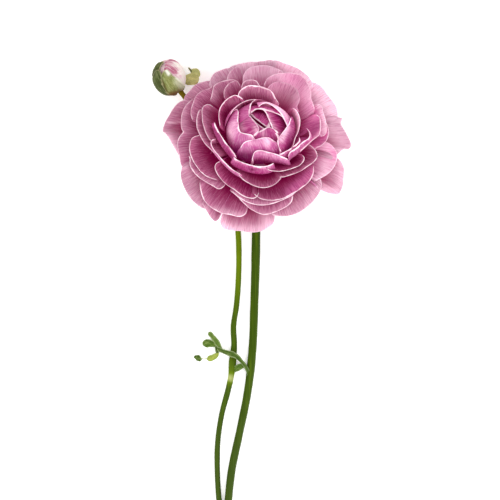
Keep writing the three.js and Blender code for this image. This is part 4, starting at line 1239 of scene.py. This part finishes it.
def bud_blade(i, rim, size, side, rows, columns, ruffle, via=None):
    """A blade that lies round the ball, from the bud's foot to a rim on the plan, maybe by way of a place."""
    line = unit(even_line(over_bud(rim, size, side), columns + 1)[0])
    foot = unit(over_bud(BUD_FOOT, 1.0, -1) + BUD_FOOT_SPREAD * line)
    s = (1 - (1 - np.linspace(0, 1, rows + 1)) ** 1.2)[:, None, None]
    if via:
        way = unit((1 - s) ** 2 * foot + 2.4 * s * (1 - s) * over_bud(via, size) + s**2 * line)
    else:
        angle = np.arccos(np.clip((foot * line).sum(-1), -1, 1))[None, :, None]
        way = (np.sin((1 - s) * angle) * foot + np.sin(s * angle) * line) / np.sin(angle)
    c = np.linspace(-1, 1, columns + 1)[None, :]
    s = s[..., 0] + 0 * c
    far = BUD_SKIN + (size - BUD_SKIN) * smoothstep(s, 0.0, 0.4)
    far = far + ruffle / BUD_RADII[2] * smoothstep(s, 0.6, 1.0) * ripple(c * 4, i, 1.4, 1.2)
    return (way * far[..., None] * BUD_RADII) @ BUD_FRAME[:3, :3].T + BUD_MIDDLE, s, (c + 1) / 2 + 0 * s


def patches(points, spots):
    """How strongly soft spots on the plan show at these places, 0 to 1."""
    plan = on_plan(points)
    return np.maximum.reduce([strength * near_line(plan, a, b, width) for a, b, width, strength in spots])


def make_calyx():
    pile = Pile()
    pile.turned(CALYX_DISC, 40, BLOOM_FRAME, **UNMARKED, dark=0.6, brown=0.0, bleach=0.0)
    for k in range(BLOOM_SEPALS):
        sepal = bloom_sepal(300 + k, FIRST_SEPAL_AT + 360 / BLOOM_SEPALS * k, *BLOOM_SEPAL_GRID)
        pile.shell(sepal, SEPAL_THICK, SEPAL_THIN, lot=draw(k, 90), dark=0.55 + 0.2 * draw(k, 91), brown=0.0,
                   bleach=0.0)
    keep(pile.mesh("bloom_calyx", OLIVE_SEPAL), "sepal_green", "flower_calyx")


def make_bud_sepals():
    pile = Pile()
    for k, (size, side, dark, via, rim) in enumerate(BUD_SEPALS):
        sepal = bud_blade(320 + k, rim, size, side, *BUD_SEPAL_GRID, 0.12, via)
        points = sepal[0]
        if side > 0:
            # The dark spots are painted shade in the gaps between the sepals.
            dark = dark + patches(points, SEPAL_PAINTED_SHADE) - 0.5 * patches(points, SEPAL_BLEACH[1:])
        bleach = patches(points, SEPAL_BLEACH) if k == len(BUD_SEPALS) - 1 else 0.0
        pile.shell(sepal, SEPAL_THICK, SEPAL_THIN, lot=draw(k, 92), dark=dark, bleach=bleach,
                   brown=patches(points, SEPAL_BROWN))
    for k, (dark, fold, nodes) in enumerate(BENT_AWAY):
        pile.shell(lobe(nodes, *BENT_SEPAL_GRID, fold), SEPAL_THICK, SEPAL_THIN, lot=0.7 + 0.1 * k, dark=dark,
                   brown=0.0, bleach=0.0)
    keep(pile.mesh("bud_sepals_ribbed", OLIVE_SEPAL), "sepal_green", "bud_sepals")


def make_bud_petals():
    pile = Pile()
    place = BUD_FRAME.copy()
    place[:3, 3] = BUD_MIDDLE
    core = [(BUD_CORE * BUD_RADII[0] * math.sin(a), -BUD_CORE * BUD_RADII[2] * math.cos(a))
            for a in np.linspace(0, math.pi, 17)]
    pile.turned(core, 36, place, **UNMARKED, blush=0.35)
    for k, (size, side, rim) in enumerate(BUD_PETALS):
        petal = bud_blade(340 + k, rim, size, side, *BUD_PETAL_GRID, 0.06)
        pile.shell(petal, BUD_PETAL_THICK, PETAL_THIN, lot=draw(k, 94), blush=patches(petal[0], BUD_BLUSH))
    keep(pile.mesh("bud_petals_furled", BUD_PETAL), "bud_petal", "bud_petals")


def make_leaves():
    for name, node, lobes in (
            ("leaf_lobes", "leaf", LEAF_LOBES), ("shoot_leaf_blade", "shoot_leaf", [SHOOT_LEAF])):
        pile = Pile()
        for k, (dark, fold, nodes) in enumerate(lobes):
            points, along, across = lobe(nodes, *LOBE_GRID, fold)
            shade = dark + 0.15 * (np.abs(2 * across - 1) - 0.4)  # darker towards the edges
            pile.shell((points, along, across), LEAF_THICK, LEAF_THIN, lot=draw(k, 95), dark=shade)
        keep(pile.mesh(name, LEAF_GREEN), "leaf_green", node)


make_calyx()
make_bud_sepals()
make_bud_petals()
make_leaves()

# ---------------------------------------------------------------- stalks and their hairs


def finish_form(tree, out, form, material):
    """Ends a geometry tree: its instances become real, and take their material."""
    real = put(tree, "GeometryNodeRealizeInstances", {0: form}).outputs[0]
    feed(tree, out, put(tree, "GeometryNodeSetMaterial", {0: real, "Material": material}).outputs[0])


def stalk_tree():
    """A ribbed tube along a line whose points carry their radius, lying on the table."""
    tree, given, out = named_group("ribbed stalk", "GeometryNodeTree", [
        ("Line", "geometry", None), ("Ribs", "count", STALK_RIBS), ("Rib depth", "float", RIB_DEPTH),
        ("Sides", "count", 42), ("Material", "material", None),
    ], [("Geometry", "geometry")])
    line = put(tree, "GeometryNodeMeshToCurve", {0: given["Line"]}).outputs[0]
    ring = put(tree, "GeometryNodeCurvePrimitiveCircle", {
        "Resolution": given["Sides"], "Radius": 1.0}).outputs[0]
    place = put(tree, "GeometryNodeInputPosition").outputs[0]
    x, y, z = put(tree, "ShaderNodeSeparateXYZ", {0: place}).outputs
    wave = maths(tree, "COSINE", times(tree, maths(tree, "ARCTAN2", y, x), given["Ribs"]))
    swell = times(tree, wave, given["Rib depth"])
    offset = put(tree, "ShaderNodeVectorMath", {0: place, 3: swell}, operation="SCALE").outputs[0]
    ring = put(tree, "GeometryNodeSetPosition", {"Geometry": ring, "Offset": offset}).outputs[0]
    thick = put(tree, "GeometryNodeInputNamedAttribute", {"Name": "thick"}, data_type="FLOAT").outputs[0]
    tube = put(tree, "GeometryNodeCurveToMesh", {
        "Curve": line, "Profile Curve": ring, "Scale": thick, "Fill Caps": True}).outputs[0]
    low = put(tree, "ShaderNodeCombineXYZ", {0: x, 1: y, 2: maths(tree, "MAXIMUM", z, 0.0)}).outputs[0]
    tube = put(tree, "GeometryNodeSetPosition", {"Geometry": tube, "Position": low}).outputs[0]
    finish_form(tree, out[0], tube, given["Material"])
    return tree


def hair_tree():
    """Short fine hairs on the upper side of a surface."""
    tree, given, out = named_group("fine hairs", "GeometryNodeTree", [
        ("Surface", "geometry", None), ("Density", "float", 260000.0), ("Length", "float", 0.0008),
        ("Thickness", "float", 0.00004), ("Seed", "count", 5), ("Material", "material", None),
    ], [("Geometry", "geometry")])
    up = put(tree, "ShaderNodeSeparateXYZ", {0: put(tree, "GeometryNodeInputNormal").outputs[0]}).outputs[2]
    upper = put(tree, "FunctionNodeCompare", {0: up, 1: 0.05}, data_type="FLOAT", operation="GREATER_THAN")
    spread = put(tree, "GeometryNodeDistributePointsOnFaces", {
        "Mesh": given["Surface"], "Selection": upper.outputs[0], "Density": given["Density"],
        "Seed": given["Seed"]})
    hair = put(tree, "GeometryNodeMeshCone", {
        "Vertices": 4, "Side Segments": 2, "Radius Top": 0.0, "Radius Bottom": given["Thickness"],
        "Depth": given["Length"]}).outputs["Mesh"]
    size = put(tree, "FunctionNodeRandomValue", {2: 0.5, 3: 1.15, "Seed": given["Seed"]}, data_type="FLOAT")
    lean = put(tree, "FunctionNodeRandomValue", {
        0: (-0.5, -0.5, 0.0), 1: (0.5, 0.5, 6.28), "Seed": given["Seed"]}, data_type="FLOAT_VECTOR")
    lean = put(tree, "FunctionNodeEulerToRotation", {0: lean.outputs[0]}).outputs[0]
    turn = put(tree, "FunctionNodeRotateRotation", {0: spread.outputs["Rotation"], 1: lean},
               rotation_space="LOCAL").outputs[0]
    hairs = put(tree, "GeometryNodeInstanceOnPoints", {
        "Points": spread.outputs["Points"], "Instance": hair, "Rotation": turn, "Scale": size.outputs[1]})
    finish_form(tree, out[0], hairs.outputs[0], given["Material"])
    return tree


def grown(name, source, tree, values):
    """The plain mesh that a geometry tree makes of a source mesh, as a new object."""
    base = bpy.data.objects.new(name, source)
    bpy.context.scene.collection.objects.link(base)
    modifier = base.modifiers.new("grow", "NODES")
    modifier.node_group = tree
    for socket in tree.interface.items_tree:
        if socket.in_out == "INPUT" and socket.name in values:
            modifier[socket.identifier] = values[socket.name]
    bpy.context.view_layer.update()
    mesh = bpy.data.meshes.new_from_object(base.evaluated_get(bpy.context.evaluated_depsgraph_get()))
    base.modifiers.remove(modifier)
    base.data = mesh
    mesh.name = name
    mesh.polygons.foreach_set("use_smooth", [True] * len(mesh.polygons))
    return base


def stalk_line(nodes, steps, young, lot):
    """A line mesh in metres, whose points carry the stalk's radius and how young and how brown it is."""
    line = through(nodes, steps)
    mesh = bpy.data.meshes.new("stalk line")
    mesh.from_pydata((line[:, :3] * MM).tolist(), [(k, k + 1) for k in range(steps)], [])
    wobble = 1 + 0.025 * ripple(np.linspace(0, 30, steps + 1), int(lot * 10))
    values = {"thick": line[:, 3] * wobble * MM, "young": young(line[:, 1]), "lot": 0 * line[:, 3] + lot,
              "brown": 0.75 * smoothstep(line[:, 1], *BROWN_NECK)}
    for label, value in values.items():
        mesh.attributes.new(label, "FLOAT", "POINT").data.foreach_set("value", value)
    return mesh


def stem_age(y):
    return 0.12 + 0.2 * smoothstep(y, 60, -60)


def shoot_age(y):
    """The side shoot is paler above, at its joint and along the sheath over the joint."""
    joint = np.exp(-(((y - SHOOT_JOINT) / 3.0) ** 2))
    sheath = smoothstep(y, *SHEATH[:2]) * smoothstep(y, *SHEATH[:1:-1])
    return 0.3 + 0.36 * smoothstep(y, -5, 40) + 0.66 * joint + 0.14 * sheath


def make_stalks():
    tree, hairs = stalk_tree(), hair_tree()
    stem = stalk_line([*STEM, STEM_TOP], 260, stem_age, 0.2)
    shoot = stalk_line([*SHOOT, SHOOT_TOP], 300, shoot_age, 0.6)
    for name, line, ribs, nodes in (
            ("main_stalk", stem, STALK_RIBS, ["stem"]), ("side_stalk", shoot, SHOOT_RIBS, [])):
        piece = grown(name, line, tree, {"Ribs": ribs, "Rib depth": RIB_DEPTH, "Material": STALK_GREEN})
        fuzz = grown(name + "_hairs", piece.data.copy(), hairs, {"Seed": ribs, "Material": STALK_GREEN})
        keep(piece, "stem_green", *nodes)
        keep(fuzz, "stem_green")


def make_cut_end():
    """The stem's cut face, with its pale pith inside a green ring."""
    place, before, radius = Vector(STEM[0][:3]), Vector(STEM[1][:3]), STEM[0][3]
    turn = (place - before).to_track_quat("Z", "Y").to_matrix().to_4x4()
    profile = [(0, -0.3), (CUT_RINGS[0] * radius, -0.3), *[(k * radius, 0.12) for k in CUT_RINGS], (0, 0.12)]
    away = np.concatenate([[0.0], np.repeat([1.0, *CUT_RINGS], CUT_SIDES), [0.0]])
    pile = Pile()
    pile.turned(profile, CUT_SIDES, np.array(Matrix.Translation(place) @ turn), away=away)
    keep(pile.mesh("cut_end", CUT_PITH), "stem_green")


make_stalks()
make_cut_end()

# ---------------------------------------------------------------- table and finish


def make_table():
    mesh = bpy.data.meshes.new("table")
    corners = [(x * TABLE_HALF, y * TABLE_HALF, 0) for x, y in ((-1, -1), (1, -1), (1, 1), (-1, 1))]
    mesh.from_pydata(corners, [], [(0, 1, 2, 3)])
    mesh.materials.append(PALE_TABLE)
    table = bpy.data.objects.new("table", mesh)
    bpy.context.scene.collection.objects.link(table)


make_table()
